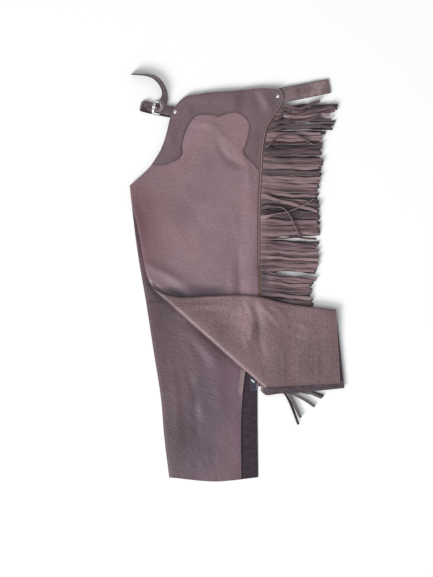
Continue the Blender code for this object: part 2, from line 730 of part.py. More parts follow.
def add_buckle():
    """Frame with a wide outer bar over the tongue, and the prong on the bar."""
    c = math.cos(math.radians(BUCKLE_HEADING))
    s = math.sin(math.radians(BUCKLE_HEADING))
    outer = []
    corner = 4.0
    for cx, cy, start in ((1, 1, 0), (-1, 1, 90), (-1, -1, 180), (1, -1, 270)):
        for turn in (0, 30, 60, 90):
            a = math.radians(start + turn)
            outer.append((cx * (BUCKLE_SIZE[0] / 2 - corner) + corner * math.cos(a),
                          cy * (BUCKLE_SIZE[1] / 2 - corner) + corner * math.sin(a)))
    grids = []
    for dz in (BUCKLE_THICK / 2, -BUCKLE_THICK / 2):
        rows = []
        for left, inset in ((0.0, 0.0), (BUCKLE_PLATE, BUCKLE_BAR)):
            kx = 1.0 - (left + inset) / BUCKLE_SIZE[0]
            ky = 1.0 - 2.0 * inset / BUCKLE_SIZE[1]
            ring = []
            for u, v in outer:
                u = u * kx + (left - inset) / 2
                v = v * ky
                ring.append((BUCKLE_PLACE[0] + u * c - v * s, BUCKLE_PLACE[1] + u * s + v * c,
                             BUCKLE_PLACE[2] + dz))
            rows.append(ring)
        grids.append(rows)
    n = len(outer)
    points = grids[0][0] + grids[0][1] + grids[1][1] + grids[1][0]
    faces = []
    for ring in range(4):
        following = (ring + 1) % 4
        for k in range(n):
            m = (k + 1) % n
            faces.append((ring * n + k, ring * n + m, following * n + m, following * n + k))
    add_body("buckle_frame", points, faces, METAL_COLOUR, 0.3, 1.0)
    reach = -BUCKLE_SIZE[0] / 2 + PRONG_LENGTH / 2
    place = (BUCKLE_PLACE[0] + reach * c, BUCKLE_PLACE[1] + reach * s,
             BUCKLE_PLACE[2] + BUCKLE_THICK / 2 + 0.3 + 1.0)
    add_body("buckle_prong", *boxed((PRONG_LENGTH, 2.4, 2.0), place, BUCKLE_HEADING),
             METAL_COLOUR, 0.3, 1.0, smooth=False)


def add_rivets():
    """Domed rivets that hold the straps to the upper yoke."""
    for name, (x, y) in RIVETS.items():
        middle = float(upper_leg_heights(np.float64(x), np.float64(y))[1])
        base = middle + LEATHER / 2 + PATCH_GAP + YOKE + SEAM_GAP
        sides = 16
        rings = [(1.0, 0.0), (1.0, 0.35), (0.78, 0.78), (0.4, 1.0)]
        points = []
        for radius, rise in rings:
            for k in range(sides):
                a = 2 * math.pi * k / sides
                points.append((x + RIVET_RADIUS * radius * math.cos(a),
                               y + RIVET_RADIUS * radius * math.sin(a), base + RIVET_HEIGHT * rise))
        faces = [tuple(range(sides))[::-1], tuple(3 * sides + k for k in range(sides))]
        for ring in range(3):
            for k in range(sides):
                m = (k + 1) % sides
                faces.append((ring * sides + k, ring * sides + m,
                              ring * sides + sides + m, ring * sides + sides + k))
        add_body(name, points, faces, METAL_COLOUR, 0.3, 1.0)


def add_zips():
    """Zip tape in each leg, and on the lower leg its box and the guard beside it."""
    def edge_line(leg, half, inset, run):
        ys = np.linspace(run[0], run[1], 6)
        return [(float(through(OUTSEAM[leg, half], y)) - inset, float(y)) for y in ys]

    def on_lower_front(x, y):
        return lower_leg_heights(x, y)[0] + LEATHER / 2 + SEAM_GAP

    def under_upper_front(x, y):
        return upper_leg_heights(x, y)[1] - LEATHER / 2 - SEAM_GAP - TAPE

    def on_lower_back(x, y):
        return lower_leg_heights(x, y)[1] + LEATHER / 2 + PATCH_GAP

    for leg, height_of in (("under", on_lower_front), ("over", under_upper_front)):
        run = ZIP_RUN[leg]
        inner = edge_line(leg, "front", ZIP_INSET + ZIP_WIDTH, run)
        outer = edge_line(leg, "front", ZIP_INSET, run)
        add_body(f"zip_{leg}", *panel_strip(inner, outer, 19, 2, height_of, TAPE), TAPE_COLOUR)
    inner = edge_line("under", "back", 0.8 + GUARD_WIDTH, GUARD_RUN)
    outer = edge_line("under", "back", 0.8, GUARD_RUN)
    add_body("zip_guard", *panel_strip(inner, outer, 5, 2, on_lower_back, GUARD), LEATHER_COLOUR)
    base = float(on_lower_front(*ZIP_BOX_PLACE)) + TAPE + SEAM_GAP + ZIP_BOX_SIZE[2] / 2
    add_body("zip_box", *boxed(ZIP_BOX_SIZE, (*ZIP_BOX_PLACE, base), -41.0), METAL_COLOUR, 0.3, 1.0,
             smooth=False)


def add_leg(leg):
    """Thigh and shin of one leg."""
    wide = [0.0, 0.03, 0.07, 0.12, 0.18, 0.24, 0.3, 0.36, 0.46, 0.58, 0.7, 0.82, 0.92, 1.0]
    plain = [0.0, 0.07, 0.15, 0.24, 0.33, 0.44, 0.58, 0.76, 0.9, 1.0]
    near_columns = [0.0, 0.35 * FOLD_REACH, 0.7 * FOLD_REACH]
    bend = [math.pi * BEND_RADIUS * k / 4 for k in range(5)]
    if leg == "over":
        jobs = [
            ("leg_over_thigh", thigh_sides, wide, [0.07 * k for k in range(1, 14)] + [1.0], bend, 0.006),
            ("leg_over_shin", shin_sides, wide, [0.12 * k for k in range(1, 8)] + [1.0],
             [-150, -90, -50, -20] + bend, 0.006),
        ]
    else:
        jobs = [
            ("leg_under_thigh", thigh_sides, plain, list(np.linspace(0, 1, 15)), [], 0),
            ("leg_under_shin", shin_sides, plain, list(np.linspace(0, 1, 13)), [], 0),
        ]
    for name, sides_of, columns, rows, keys, least in jobs:
        grids = [
            leg_grid(leg, sides_of, columns, near_columns, rows, keys, least, offset)
            for offset in (LEATHER / 2, -LEATHER / 2)
        ]
        colour = SHIN_COLOUR if name == "leg_under_shin" else LEATHER_COLOUR
        add_body(name, *wall(*grids), colour)


def main():
    for item in list(bpy.data.objects):
        bpy.data.objects.remove(item, do_unlink=True)
    for leg in ("under", "over"):
        add_leg(leg)
        add_fringe(leg)
    add_yokes()
    add_zips()
    add_straps()
    add_buckle()
    add_rivets()


main()
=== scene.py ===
"""Looks of the fringed leather chaps, folded down the middle and laid flat.

Layout values are millimetres, as in the part's source: x runs right from the
crotch corner, y runs up from the hem, z runs up from the surface below.
"""

import math

import bpy
import numpy as np
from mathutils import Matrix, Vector, noise


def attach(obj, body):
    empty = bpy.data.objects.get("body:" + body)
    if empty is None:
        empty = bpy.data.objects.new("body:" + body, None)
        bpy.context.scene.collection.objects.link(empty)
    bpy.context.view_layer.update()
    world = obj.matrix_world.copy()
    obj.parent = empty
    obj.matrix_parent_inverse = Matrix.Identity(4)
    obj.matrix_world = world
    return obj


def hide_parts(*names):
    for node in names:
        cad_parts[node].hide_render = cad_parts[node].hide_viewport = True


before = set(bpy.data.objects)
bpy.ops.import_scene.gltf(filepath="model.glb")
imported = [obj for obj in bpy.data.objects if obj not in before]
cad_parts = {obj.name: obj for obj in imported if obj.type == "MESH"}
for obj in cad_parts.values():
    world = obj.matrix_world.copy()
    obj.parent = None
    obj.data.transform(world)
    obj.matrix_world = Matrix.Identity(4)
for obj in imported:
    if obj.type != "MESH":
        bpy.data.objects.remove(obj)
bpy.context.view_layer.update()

MM = 0.001
CENTRE = (278.3, 529.5)

# Leather and its layers
LEATHER = 2.0
LAYER_GAP = 0.4
LEG_GAP = 0.7
SEAM_GAP = 0.3
YOKE = 1.8
PATCH_GAP = 0.6
FOLD_REACH = 6.0
TOP_DROP = 2.3
ZIP_RISE = 1.5

# Lines of the cut: knee seam, crotch corner and the edges down each leg
KNEE_Y = 468.0
CROTCH_Y = 767.0
WAIST = [
    # x, y
    (0, 767), (56, 820), (79, 857), (93, 894), (102, 931), (107, 950), (123, 978),
    (139, 994), (186, 1005), (265, 1012), (362, 1020), (385, 1017), (397, 996),
]
SEAT = [
    # x, y
    (0, 767), (78, 803), (182, 840), (273, 887), (317, 926),
]
INSEAM = {
    # y, x
    "under": [(10, 102), (117, 89), (211, 81), (341, 61), (471, 41), (575, 23), (679, 9), (767, 0)],
    "over": [
        (34, 168), (169, 134), (234, 110), (346, 95), (447, 85), (486, 68), (528, 47),
        (575, 35), (632, 25), (673, 17), (715, 6), (767, 0),
    ],
}
OUTSEAM = {
    # y, x
    ("under", "front"): [(10, 333), (231, 331), (468, 334), (801, 335), (875, 340), (917, 349),
                         (950, 368), (978, 387), (996, 397)],
    ("over", "front"): [(36, 373), (88, 372), (192, 368), (250, 359), (354, 343), (468, 334),
                        (801, 335), (875, 340), (917, 349), (950, 368), (978, 387), (996, 397)],
    ("under", "back"): [(6, 289), (227, 293), (283, 300), (367, 309), (468, 317), (926, 317)],
    ("over", "back"): [(46, 359), (248, 343), (354, 328), (468, 317), (926, 317)],
}
HEM = {
    # x, y
    ("under", "front"): [(102, 10), (239, 0), (333, 10)],
    ("under", "back"): [(102, 10), (239, 0), (289, 6)],
    ("over", "front"): [(168, 34), (373, 36)],
    ("over", "back"): [(168, 34), (359, 46)],
}

# Fold of the upper shin: its axis, its bend and how it settles on what is below
AXIS_POINT = np.array([170.0, 414.0])
AXIS_SLOPE = math.radians(-41.65)
AXIS_HEIGHT = 15.0
BEND_RADIUS = 6.0
SETTLE = 70.0
REST_GAP = 0.6
FLARE = 19.0
FLARE_RUN = (226.0, 241.0)
FLARE_TURN = 1.2
FLARE_WIDTH = 14.0
FLARE_SPAN = (-10.0, 3.0)
FLARE_HOLD = 1.0

# Where the layers rise or fall smoothly: each span goes from its start to its end
PUFF = {"under": 1.5, "over": 3.0}
PUFF_WIDTH = 42.0
PUFF_SPAN = (787.0, 647.0)
YOKE_SPAN = (730.0, 805.0)
SEAT_SPAN = (0.0, 100.0)
HIP_SPAN = (300.0, 360.0)
STRAP_END = (118.0, 958.0)
STRAP_SPAN = (130.0, 30.0)
ZIP_SPAN_X = (284.0, 310.0)
ZIP_SPAN_Y = (800.0, 680.0)
FRINGE_PEAK = 14.2
FRINGE_FALL = 5.0
FRINGE_SPAN = (15.0, 90.0)
EDGE_SPAN = (-9.0, 11.0)
FLOOR_FALL = 4.5
FLOOR_SPAN = (500.0, 580.0)

# Soft ridges that stand on the panels, as on the solids
RIDGES = {
    "over": [
        # x, y, direction in degrees, half length, half width, height
        (108, 527, -28, 62, 20, 2.4),
        (250, 640, 80, 190, 60, 1.2),
        (302, 545, 90, 75, 13, 1.0),
    ],
    "under": [
        (190, 345, -38, 70, 22, 1.4),
        (235, 150, 95, 150, 40, 1.6),
    ],
    "folded": [
        (275, 405, 80, 55, 20, 2.4),
        (318, 398, 72, 48, 13, 2.2),
        (350, 425, 105, 45, 12, 2.0),
        (215, 445, 4, 70, 14, 2.0),
        (455, 340, 88, 110, 26, 1.2),
        (515, 350, 88, 100, 18, 1.0),
    ],
}

# Finer creases: each runs along a line, troughs have a height below zero
CREASES = {
    "over": [
        # height, half width, line of x, y
        (1.0, 46, [(215, 890), (270, 850)]),
        (2.2, 9, [(164, 928), (190, 929), (216, 921), (240, 903), (256, 880)]),
        (-2.4, 9, [(224, 900), (232, 872), (250, 842), (284, 822)]),
        (1.8, 10, [(262, 878), (288, 848), (306, 812), (312, 770)]),
        (1.4, 12, [(309, 800), (312, 740), (318, 690)]),
        (1.0, 11, [(270, 700), (281, 640), (296, 590)]),
        (-2.2, 7, [(284, 590), (283, 540), (281, 478)]),
        (1.3, 9, [(264, 570), (262, 482)]),
        (1.9, 10, [(318, 640), (319, 560), (316, 478)]),
        (2.2, 11, [(46, 566), (84, 545), (128, 521), (150, 506)]),
        (3.4, 20, [(112, 470), (150, 470), (200, 468), (262, 470)]),
        (-1.2, 10, [(140, 508), (190, 505), (250, 505)]),
        (-2.4, 4.5, [(56, 518), (72, 503), (90, 488)]),
        (0.9, 14, [(60, 640), (52, 580), (60, 540)]),
        (-0.9, 12, [(18, 740), (34, 690), (44, 630)]),
        (0.8, 18, [(120, 760), (180, 730), (240, 735)]),
        (0.8, 16, [(90, 700), (130, 640), (150, 590)]),
        (-0.7, 14, [(150, 720), (190, 660), (205, 590)]),
    ],
    "under": [
        (1.1, 16, [(140, 404), (176, 376), (206, 340), (222, 304)]),
        (-1.2, 11, [(150, 372), (176, 340), (196, 306)]),
        (1.1, 12, [(110, 440), (150, 425), (176, 408)]),
        (1.7, 30, [(232, 310), (250, 210), (270, 100), (276, 14)]),
        (-0.5, 10, [(284, 270), (286, 180), (288, 110)]),
        (0.9, 12, [(110, 300), (122, 200), (126, 110)]),
        (-0.8, 10, [(150, 300), (168, 220), (176, 120)]),
        (0.5, 15, [(150, 214), (186, 186), (204, 150)]),
    ],
    "folded": [
        (2.2, 6, [(300, 466), (312, 446), (318, 420), (311, 372)]),
        (1.8, 5, [(286, 462), (290, 440), (286, 416)]),
        (2.2, 7, [(338, 462), (362, 436), (384, 410)]),
        (-2.0, 8, [(326, 456), (334, 424), (337, 380), (344, 330)]),
        (1.5, 6, [(292, 394), (302, 360), (312, 330)]),
        (1.3, 6, [(366, 456), (392, 440), (404, 420)]),
        (-1.4, 6, [(136, 453), (180, 446), (250, 447)]),
        (1.4, 3.5, [(112, 450), (124, 459), (146, 462)]),
        (1.2, 5, [(136, 440), (170, 430), (214, 432)]),
        (-1.0, 6, [(180, 418), (220, 412), (262, 404)]),
        (0.9, 5, [(396, 345), (399, 300), (397, 255)]),
        (0.8, 5, [(436, 350), (438, 300), (436, 252)]),
        (0.9, 6, [(486, 356), (488, 300), (485, 258)]),
        (1.1, 9, [(256, 372), (286, 340), (330, 290)]),
        (0.9, 8, [(420, 420), (470, 400), (500, 405)]),
        (-0.9, 9, [(410, 380), (450, 366), (520, 372)]),
    ],
    "yoke": [
        (2.4, 9, [(340, 1012), (350, 990), (362, 964)]),
        (-1.6, 9, [(322, 1006), (330, 984), (338, 956)]),
        (1.0, 14, [(170, 985), (240, 992), (300, 985)]),
        (-1.4, 12, [(275, 1012), (283, 990), (290, 960)]),
        (-1.0, 10, [(120, 900), (128, 870), (118, 846)]),
        (0.8, 10, [(146, 975), (150, 950), (142, 930)]),
    ],
}
UNEVEN = {"over": 1.2, "under": 0.9, "folded": 1.8, "yoke": 2.0}
YOKE_DEPTH = 1.1

# Fringe
PITCH = 8.0
STRAND_WIDTH = 8.6
STRAND = 1.6
BAND = 9.0
CURVE_ROOM = 1.6
CURVE_SPANS = [(810.0, 840.0), (455.0, 425.0)]
LEVEL_RISE = 1.9
FRINGE_TOP = {"over": 978.0, "under": 974.0}
FRINGE_END = {"over": 262.0, "under": 245.0}
FRINGE_OUTLINE = [
    # y, x of the tips
    (200, 500), (224, 502), (455, 477), (533, 478), (549, 487), (615, 490), (640, 492),
    (780, 493), (826, 500), (890, 500), (902, 501), (914, 526), (932, 531), (940, 508), (952, 508),
    (960, 534), (990, 536),
]
FRINGE_GAPS = [
    # y, half opening, reach along the seam
    (630, 7.4, 26), (543, 7.0, 25), (842, 3.0, 20), (809, 3.0, 20), (489, 2.6, 18),
]
FRINGE_DROOP = [
    # y of the root, shift of the tip
    (220, 0), (430, -3), (480, -7), (540, -9), (590, -7), (626, 0), (640, 0), (690, -9), (745, -10),
    (800, -3), (850, -2), (890, -1), (930, 3), (978, 8),
]
# Root spans whose strands are painted in shade, and spans whose strands are painted pale where light falls
SHADED_ROOT_SPANS = [(846.0, 882.0), (688.0, 712.0), (452.0, 484.0), (906.0, 944.0)]
LIT_ROOT_SPANS = [(884.0, 904.0), (770.0, 796.0)]
STATIONS = (10.0, 24.0, 72.0)
FLOOR_LEVEL = {"under": 1.3, "over": 5.9}
LEANING = {
    # y of the root, shifts at 24 mm, at 72 mm and at the tip, x of the tip, level, turn
    "over": [
        (978, -4, -11, -3, 528, 0, -25), (970, -4, -10, 2, 536, 1, 20), (962, -3, -8, 4, 533, 0, -15),
        (954, -2, -5, 3, 520, 1, 25),
        (946, 6, 26, 44, 494, 2, 20), (930, 6, 26, 50, 528, 2, -25), (914, 3, 16, 50, 520, 2, 15),
        (874, 12, 28, 0, 478, 2, 84), (746, -6, -21, -40, 487, 3, 10), (714, 0, -16, -76, 441, 3, 84),
        (686, 2, 13, 44, 478, 2, 80),
    ],
    "under": [
        (282, -3, -32, -64, 500, 1, 20), (274, -3, -30, -51, 504, 0, -20), (266, -4, -31, -71, 481, 1, 30),
        (258, -4, -36, -92, 445, 1, 30), (250, -4, -38, -102, 439, 0, -35),
    ],
}
SCALLOP = [
    # x, y
    (57, 823), (86, 821), (109, 829), (130, 842), (133, 847), (133, 863), (138, 892), (148, 918),
    (159, 936), (172, 948), (192, 952), (218, 950), (228, 946), (238, 950), (250, 954), (276, 957),
    (296, 946), (308, 931), (308, 900), (299, 868), (294, 854), (296, 849), (317, 827), (336, 803),
]
YOKE_EDGE = [
    # x, y
    (59, 824), (79, 857), (93, 894), (102, 931), (107, 950), (123, 978), (139, 994), (186, 1005),
    (265, 1012), (362, 1020), (385, 1017), (397, 996), (392, 978), (374, 950), (355, 917),
    (346, 875), (341, 803),
]

# Zip between the halves of each leg at the outseam
ZIP_WIDTH = 17.0
ZIP_INSET = 1.5
TAPE = 1.2
ZIP_RUN = {"under": (237.0, 640.0), "over": (300.0, 640.0)}
ZIP_BOX_PLACE = (319.5, 260.5)
ZIP_BOX_SIZE = (12.0, 4.5, 2.4)
ZIP_BOX_TURN = -41.0
GUARD_WIDTH = 12.0
GUARD = 1.0
GUARD_RUN = (223.0, 290.0)

# Straps, buckle and rivets
STRAP = 2.2
BELT_WAVE = 1.7
BELT_WAVE_SPAN = (404.0, 440.0)
BELT_WIDTH = 36.0
LACE_WIDTH = 24.0
BELT_LINE = [
    # x, y, z, heading of the width, lean
    (366, 997, 8.0, 100.5, 0), (392, 1002, 8.0, 100.5, 0), (410, 1005.5, 8.0, 100.5, 0),
    (440, 1011, 6.6, 100.5, 0), (500, 1022.5, 5.6, 100.5, 0), (514, 1025, 5.2, 100.5, 0),
    (518, 1025.8, 3.4, 100.5, 0), (514, 1025, 1.6, 100.5, 0), (500, 1022, 1.4, 100.5, 0),
    (460, 1014, 1.5, 100.5, 0), (436, 1009, 2.6, 100.5, 0), (410, 1004.5, 5.5, 100.5, 0),
    (392, 1001, 5.55, 100.5, 0), (366, 996, 5.55, 100.5, 0),
]
BUCKLE_STRAP_LINE = [
    # x, y, z, heading of the width, lean
    (128, 957, 7.95, 80, 0), (108, 961, 7.9, 80, 0), (96, 963.5, 7.3, 80, 0), (85, 966, 7.0, 80, 0),
]
TONGUE_LINE = [
    # x, y, z, heading of the width, lean
    (128, 952, 5.55, 78, 0), (106, 956, 5.5, 78, 0), (90, 959, 3.6, 78, 0), (76, 962, 1.9, 78, 0),
    (57, 966, 1.4, 78, 0), (42, 969.5, 1.4, 78, 0), (33, 972, 2.4, 78, -4), (28.6, 974.2, 6.6, 78, -12),
    (33, 975.2, 10.4, 78, -18), (42, 974.6, 10.6, 78, -16), (51, 972.4, 7.2, 78, -8),
    (59, 970.8, 4.0, 78, 0), (66.5, 970, 3.9, 79, 0), (72, 969.6, 7.0, 83, 0),
    (78.4, 971, 11.6, 104, 4), (84, 978, 16.0, 140, 24),
    (88.5, 988, 15.4, 165, 42), (91, 1000, 12.6, 180, 55), (90.5, 1010, 11.6, 190, 58),
    (87, 1021, 11.4, 204, 58), (80.5, 1032.5, 11.4, 217, 58), (71.5, 1042.5, 11.5, 232, 58),
    (60, 1049.5, 11.8, 248, 62), (46.8, 1053, 12.2, 262, 68), (26, 1054.6, 12.6, 268, 74),
    (4.7, 1055.6, 12.8, 270, 76),
]
BUCKLE_PLACE = (70.6, 969.0, 7.0)
BUCKLE_HEADING = -12.0
BUCKLE_SIZE = (24.0, 33.0)
BUCKLE_BAR = 3.0
BUCKLE_PLATE = 7.5
BUCKLE_THICK = 2.6
PRONG_LENGTH = 11.0
RIVET_RADIUS = 4.3
RIVET_HEIGHT = 1.8
RIVETS = {"rivet_front": (118.0, 958.0), "rivet_hip": (384.0, 998.0)}

# Sewing
EDGE_LIFT = 0.1
STITCH_PITCH = 4.2
STITCH_LENGTH = 3.2
THREAD = 0.42

# Camera: where it looks, how high it stands and how much it sees
VIEW_CENTRE = (224.9, 500.5)
VIEW_SPAN = 1500.0
VIEW_HEIGHT = 3000.0
SENSOR = 36.0


def ease(value):
    """Smooth step from 0 to 1."""
    value = np.clip(value, 0.0, 1.0)
    return value * value * (3.0 - 2.0 * value)


def ramp(value, span):
    """Smooth step from 0 at the span's start to 1 at its end."""
    return ease((value - span[0]) / (span[1] - span[0]))


def through(rows, at):
    """Smooth line through rows of (place, value), read at the places given."""
    places = np.array([row[0] for row in rows], float)
    values = np.array([row[1:] for row in rows], float)
    slopes = np.gradient(values, places, axis=0) if len(places) > 2 else np.repeat(
        (values[1:] - values[:1]) / (places[1] - places[0]), 2, axis=0)
    at = np.asarray(at, float)
    index = np.clip(np.searchsorted(places, at) - 1, 0, len(places) - 2)
    step = (places[index + 1] - places[index])[..., None]
    share = np.clip((at - places[index]) / step[..., 0], 0.0, 1.0)[..., None]
    rise = values[index + 1] - values[index]
    line = values[index] + rise * share * share * (3.0 - 2.0 * share)
    line = line + step * share * (1.0 - share) * (
        slopes[index] * (1.0 - share) - slopes[index + 1] * share)
    past = (at - np.clip(at, places[0], places[-1]))[..., None]
    line = line + past * np.where(past < 0.0, slopes[0], slopes[-1])
    return line[..., 0] if line.shape[-1] == 1 else line


def along(points, shares):
    """Points at the given shares of the length of a smooth line."""
    points = np.array(points, float)
    steps = np.linalg.norm(np.diff(points, axis=0), axis=1)
    places = np.concatenate([[0.0], np.cumsum(steps)]) / steps.sum()
    return through(np.column_stack([places, points]), shares)


def inseam(leg, y):
    """Middle of the leather at the inseam fold."""
    return through(INSEAM[leg], np.clip(y, 0.0, CROTCH_Y)) + LEATHER / 2


def ridge_height(rows, x, y):
    """Height of the soft ridges at a place."""
    height = np.zeros(np.shape(x))
    for cx, cy, angle, half_length, half_width, rise in rows:
        c = math.cos(math.radians(angle))
        s = math.sin(math.radians(angle))
        u = (x - cx) * c + (y - cy) * s
        v = (y - cy) * c - (x - cx) * s
        height = height + rise * np.exp(-((u / half_length) ** 2) - (v / half_width) ** 2)
    return height


def crease_height(kind, x, y):
    """Height of the finer creases and of the leather's own unevenness at a place."""
    x = np.asarray(x, float)
    y = np.asarray(y, float)
    height = np.zeros(x.shape)
    for rise, half_width, line in CREASES[kind]:
        line = along(line, np.linspace(0.0, 1.0, 14)) if len(line) > 2 else np.array(line, float)
        length = np.linalg.norm(np.diff(line, axis=0), axis=1).sum()
        best = np.full(x.shape, 1e9)
        place = np.zeros(x.shape)
        done = 0.0
        for a, b in zip(line[:-1], line[1:]):
            run = b - a
            size = np.hypot(*run)
            share = np.clip(((x - a[0]) * run[0] + (y - a[1]) * run[1]) / size ** 2, 0.0, 1.0)
            distance = np.hypot(x - a[0] - share * run[0], y - a[1] - share * run[1])
            place = np.where(distance < best, done + share * size, place)
            best = np.minimum(best, distance)
            done = done + size
        swell = 0.35 + 0.65 * np.sin(math.pi * np.clip(place / length, 0.0, 1.0))
        height = height + rise * swell * np.exp(-((best / half_width) ** 2))
    return height + UNEVEN[kind] * unevenness(x, y, len(kind))


def unevenness(x, y, seed):
    """Soft random relief of a hide, about one high at most."""
    values = [
        noise.noise((px / 74.0, py / 96.0, seed)) * 0.9
        + noise.noise((px / 27.0, py / 34.0, seed + 5.5)) * 0.3
        + noise.noise((px / 11.0, py / 12.0, seed + 9.5)) * 0.07
        for px, py in zip(np.ravel(x).tolist(), np.ravel(y).tolist())]
    return np.array(values).reshape(np.shape(x))


def yoke_relief(x, y):
    """Relief of a yoke's grain side, which stays clear of its flesh side."""
    return np.maximum(crease_height("yoke", x, y), -YOKE_DEPTH)


def strap_room(x, y):
    """Where straps lie between the two fronts and hold them apart."""
    distance = np.hypot(x - STRAP_END[0], y - STRAP_END[1])
    return np.maximum(ramp(x, HIP_SPAN), ramp(distance, STRAP_SPAN))


def seat_height(x):
    """Height of the seat edge of the back halves at x."""
    return through(SEAT, np.clip(x, 0.0, SEAT[-1][0]))


def puff(leg, x, y):
    """Roundness that the inseam fold keeps between its two halves."""
    inward = np.maximum(x - inseam(leg, y), 0.0)
    return PUFF[leg] * np.exp(-((inward / PUFF_WIDTH) ** 2)) * ramp(y, PUFF_SPAN)


def zip_rise(x, y):
    """Bump over the zip, which lies between the halves at the outseam."""
    return ZIP_RISE * ramp(x, ZIP_SPAN_X) * ramp(y, ZIP_SPAN_Y)


def lower_leg_heights(x, y):
    """Middles of the lower leg's front half, on the floor, and back half, on it."""
    yoke_lift = (YOKE + SEAM_GAP) * ramp(y, YOKE_SPAN)
    low = LEATHER / 2 + yoke_lift
    high = low + LEATHER + LAYER_GAP + puff("under", x, y) + zip_rise(x, y)
    return low, high + ridge_height(RIDGES["under"], x, y)


def upper_leg_heights(x, y):
    """Middles of the upper leg's back half and front half, lying on the lower leg."""
    low = lower_leg_heights(x, y)[1] + LEATHER + LEG_GAP
    above_seat = ramp(y - seat_height(x), SEAT_SPAN)
    drop = TOP_DROP * above_seat * (1.0 - strap_room(x, y))
    high = low + LEATHER + LAYER_GAP + puff("over", x, y) + zip_rise(x, y) - drop
    return low, high + ridge_height(RIDGES["over"], x, y)


def fold_place(x, y):
    """Distance past the fold axis, and distance along it."""
    across = (math.sin(AXIS_SLOPE), -math.cos(AXIS_SLOPE))
    dx = x - AXIS_POINT[0]
    dy = y - AXIS_POINT[1]
    return dx * across[0] + dy * across[1], dx * math.cos(AXIS_SLOPE) + dy * math.sin(AXIS_SLOPE)


def support_height(x, y):
    """Top of what the folded shin lies on: the upper leg, its fringe, then the floor."""
    leg_top = upper_leg_heights(x, y)[1] + LEATHER / 2
    outside = x - through(OUTSEAM["over", "front"], y)
    fringe = FRINGE_PEAK - FRINGE_FALL * ramp(outside, FRINGE_SPAN)
    beyond = fringe - FLOOR_FALL * ramp(x, FLOOR_SPAN)
    return leg_top + (beyond - leg_top) * ramp(outside, EDGE_SPAN)


def flare(half, past, length):
    """Outward turn of the front half's loose edge strip at the end of the fold."""
    if half == "back":
        return past * 0.0
    shift = FLARE * ramp(length - FLARE_TURN * past, FLARE_RUN) * ramp(past, FLARE_SPAN)
    return shift * np.exp(-((np.maximum(past - FLARE_HOLD, 0.0) / FLARE_WIDTH) ** 2))


def fold_over(half, x, y, z, grain):
    """Turn what lies past the fold axis over, and settle it on what is below."""
    past, length = fold_place(x, y)
    across = np.array([math.sin(AXIS_SLOPE), -math.cos(AXIS_SLOPE)])
    radius = AXIS_HEIGHT - z
    turn = np.clip(past / BEND_RADIUS, 0.0, math.pi)
    over = np.maximum(past - math.pi * BEND_RADIUS, 0.0)
    reach = np.minimum(past, 0.0) + radius * np.sin(turn) - over + flare(half, past, length)
    px = x + (reach - past) * across[0]
    py = y + (reach - past) * across[1]
    turned = AXIS_HEIGHT - radius * np.cos(turn)
    height = radius - (AXIS_HEIGHT - grain)
    settled = support_height(px, py) + REST_GAP + height + ridge_height(RIDGES["folded"], px, py)
    settled = settled + 0.8 * crease_height("over", px, py)
    if half == "back":
        settled = settled + crease_height("folded", px, py)
    return px, py, turned + (settled - turned) * ease(over / SETTLE)


def leg_surface(leg, half, x, y, near, offset):
    """Place points of a leg's leather; near is the distance from the inseam."""
    side = 1.0 if (leg, half) in (("over", "front"), ("under", "back")) else -1.0
    if leg == "over":
        inside = np.maximum(fold_place(x, y)[0], 0.0)
        bx = x - inside * math.sin(AXIS_SLOPE)
        by = y + inside * math.cos(AXIS_SLOPE)
        low, high = upper_leg_heights(bx, by)
        high = high + np.maximum(puff(leg, x, y) - puff(leg, bx, by), 0.0)
        if half == "front":
            high = high + crease_height("over", bx, by)
    else:
        low, high = lower_leg_heights(x, y)
        if half == "back":
            high = high + crease_height("under", x, y)
    turn = math.pi / 2 * np.clip(near / FOLD_REACH, 0.0, 1.0)
    middle = (low + high) / 2
    half_height = (high - low) / 2
    z = middle + side * (half_height + offset) * np.sin(turn)
    rounded = inseam(leg, y) + FOLD_REACH - (FOLD_REACH + offset) * np.cos(turn)
    px = np.where(near < FOLD_REACH, rounded, x)
    if leg == "over":
        return fold_over(half, px, y, z, high + LEATHER / 2)
    return px, y, z


def four_sides(near, far, start, end, c, t):
    """Point grid between four side lines; c runs across, t runs along."""
    c = c[..., None]
    t = t[..., None]
    corners = [near(np.zeros(1)), near(np.ones(1)), far(np.zeros(1)), far(np.ones(1))]
    sides = near(t[..., 0]) * (1 - c) + far(t[..., 0]) * c
    ends = start(c[..., 0]) * (1 - t) + end(c[..., 0]) * t
    blend = (corners[0] * (1 - t) + corners[1] * t) * (1 - c)
    blend = blend + (corners[2] * (1 - t) + corners[3] * t) * c
    return sides + ends - blend


def thigh_sides(leg, half):
    """Side lines of a thigh half, from the knee seam up."""
    knee = KNEE_Y + SEAM_GAP / 2
    top = WAIST if half == "front" else SEAT
    first = float(through(top[:3], FOLD_REACH))
    corner = np.array(top[-1], float)
    top_line = [(FOLD_REACH + LEATHER / 2, first)] + [row for row in top[1:]]

    def near(t):
        y = knee + (first - knee) * t
        return np.stack([inseam(leg, y) + FOLD_REACH, y], axis=-1)

    def far(t):
        y = knee + (corner[1] - knee) * t
        return np.stack([through(OUTSEAM[leg, half], y), y], axis=-1)

    def start(c):
        a, b = near(np.zeros(1)), far(np.zeros(1))
        return a + (b - a) * np.asarray(c)[..., None]

    def end(c):
        return along(top_line, c)

    return near, far, start, end


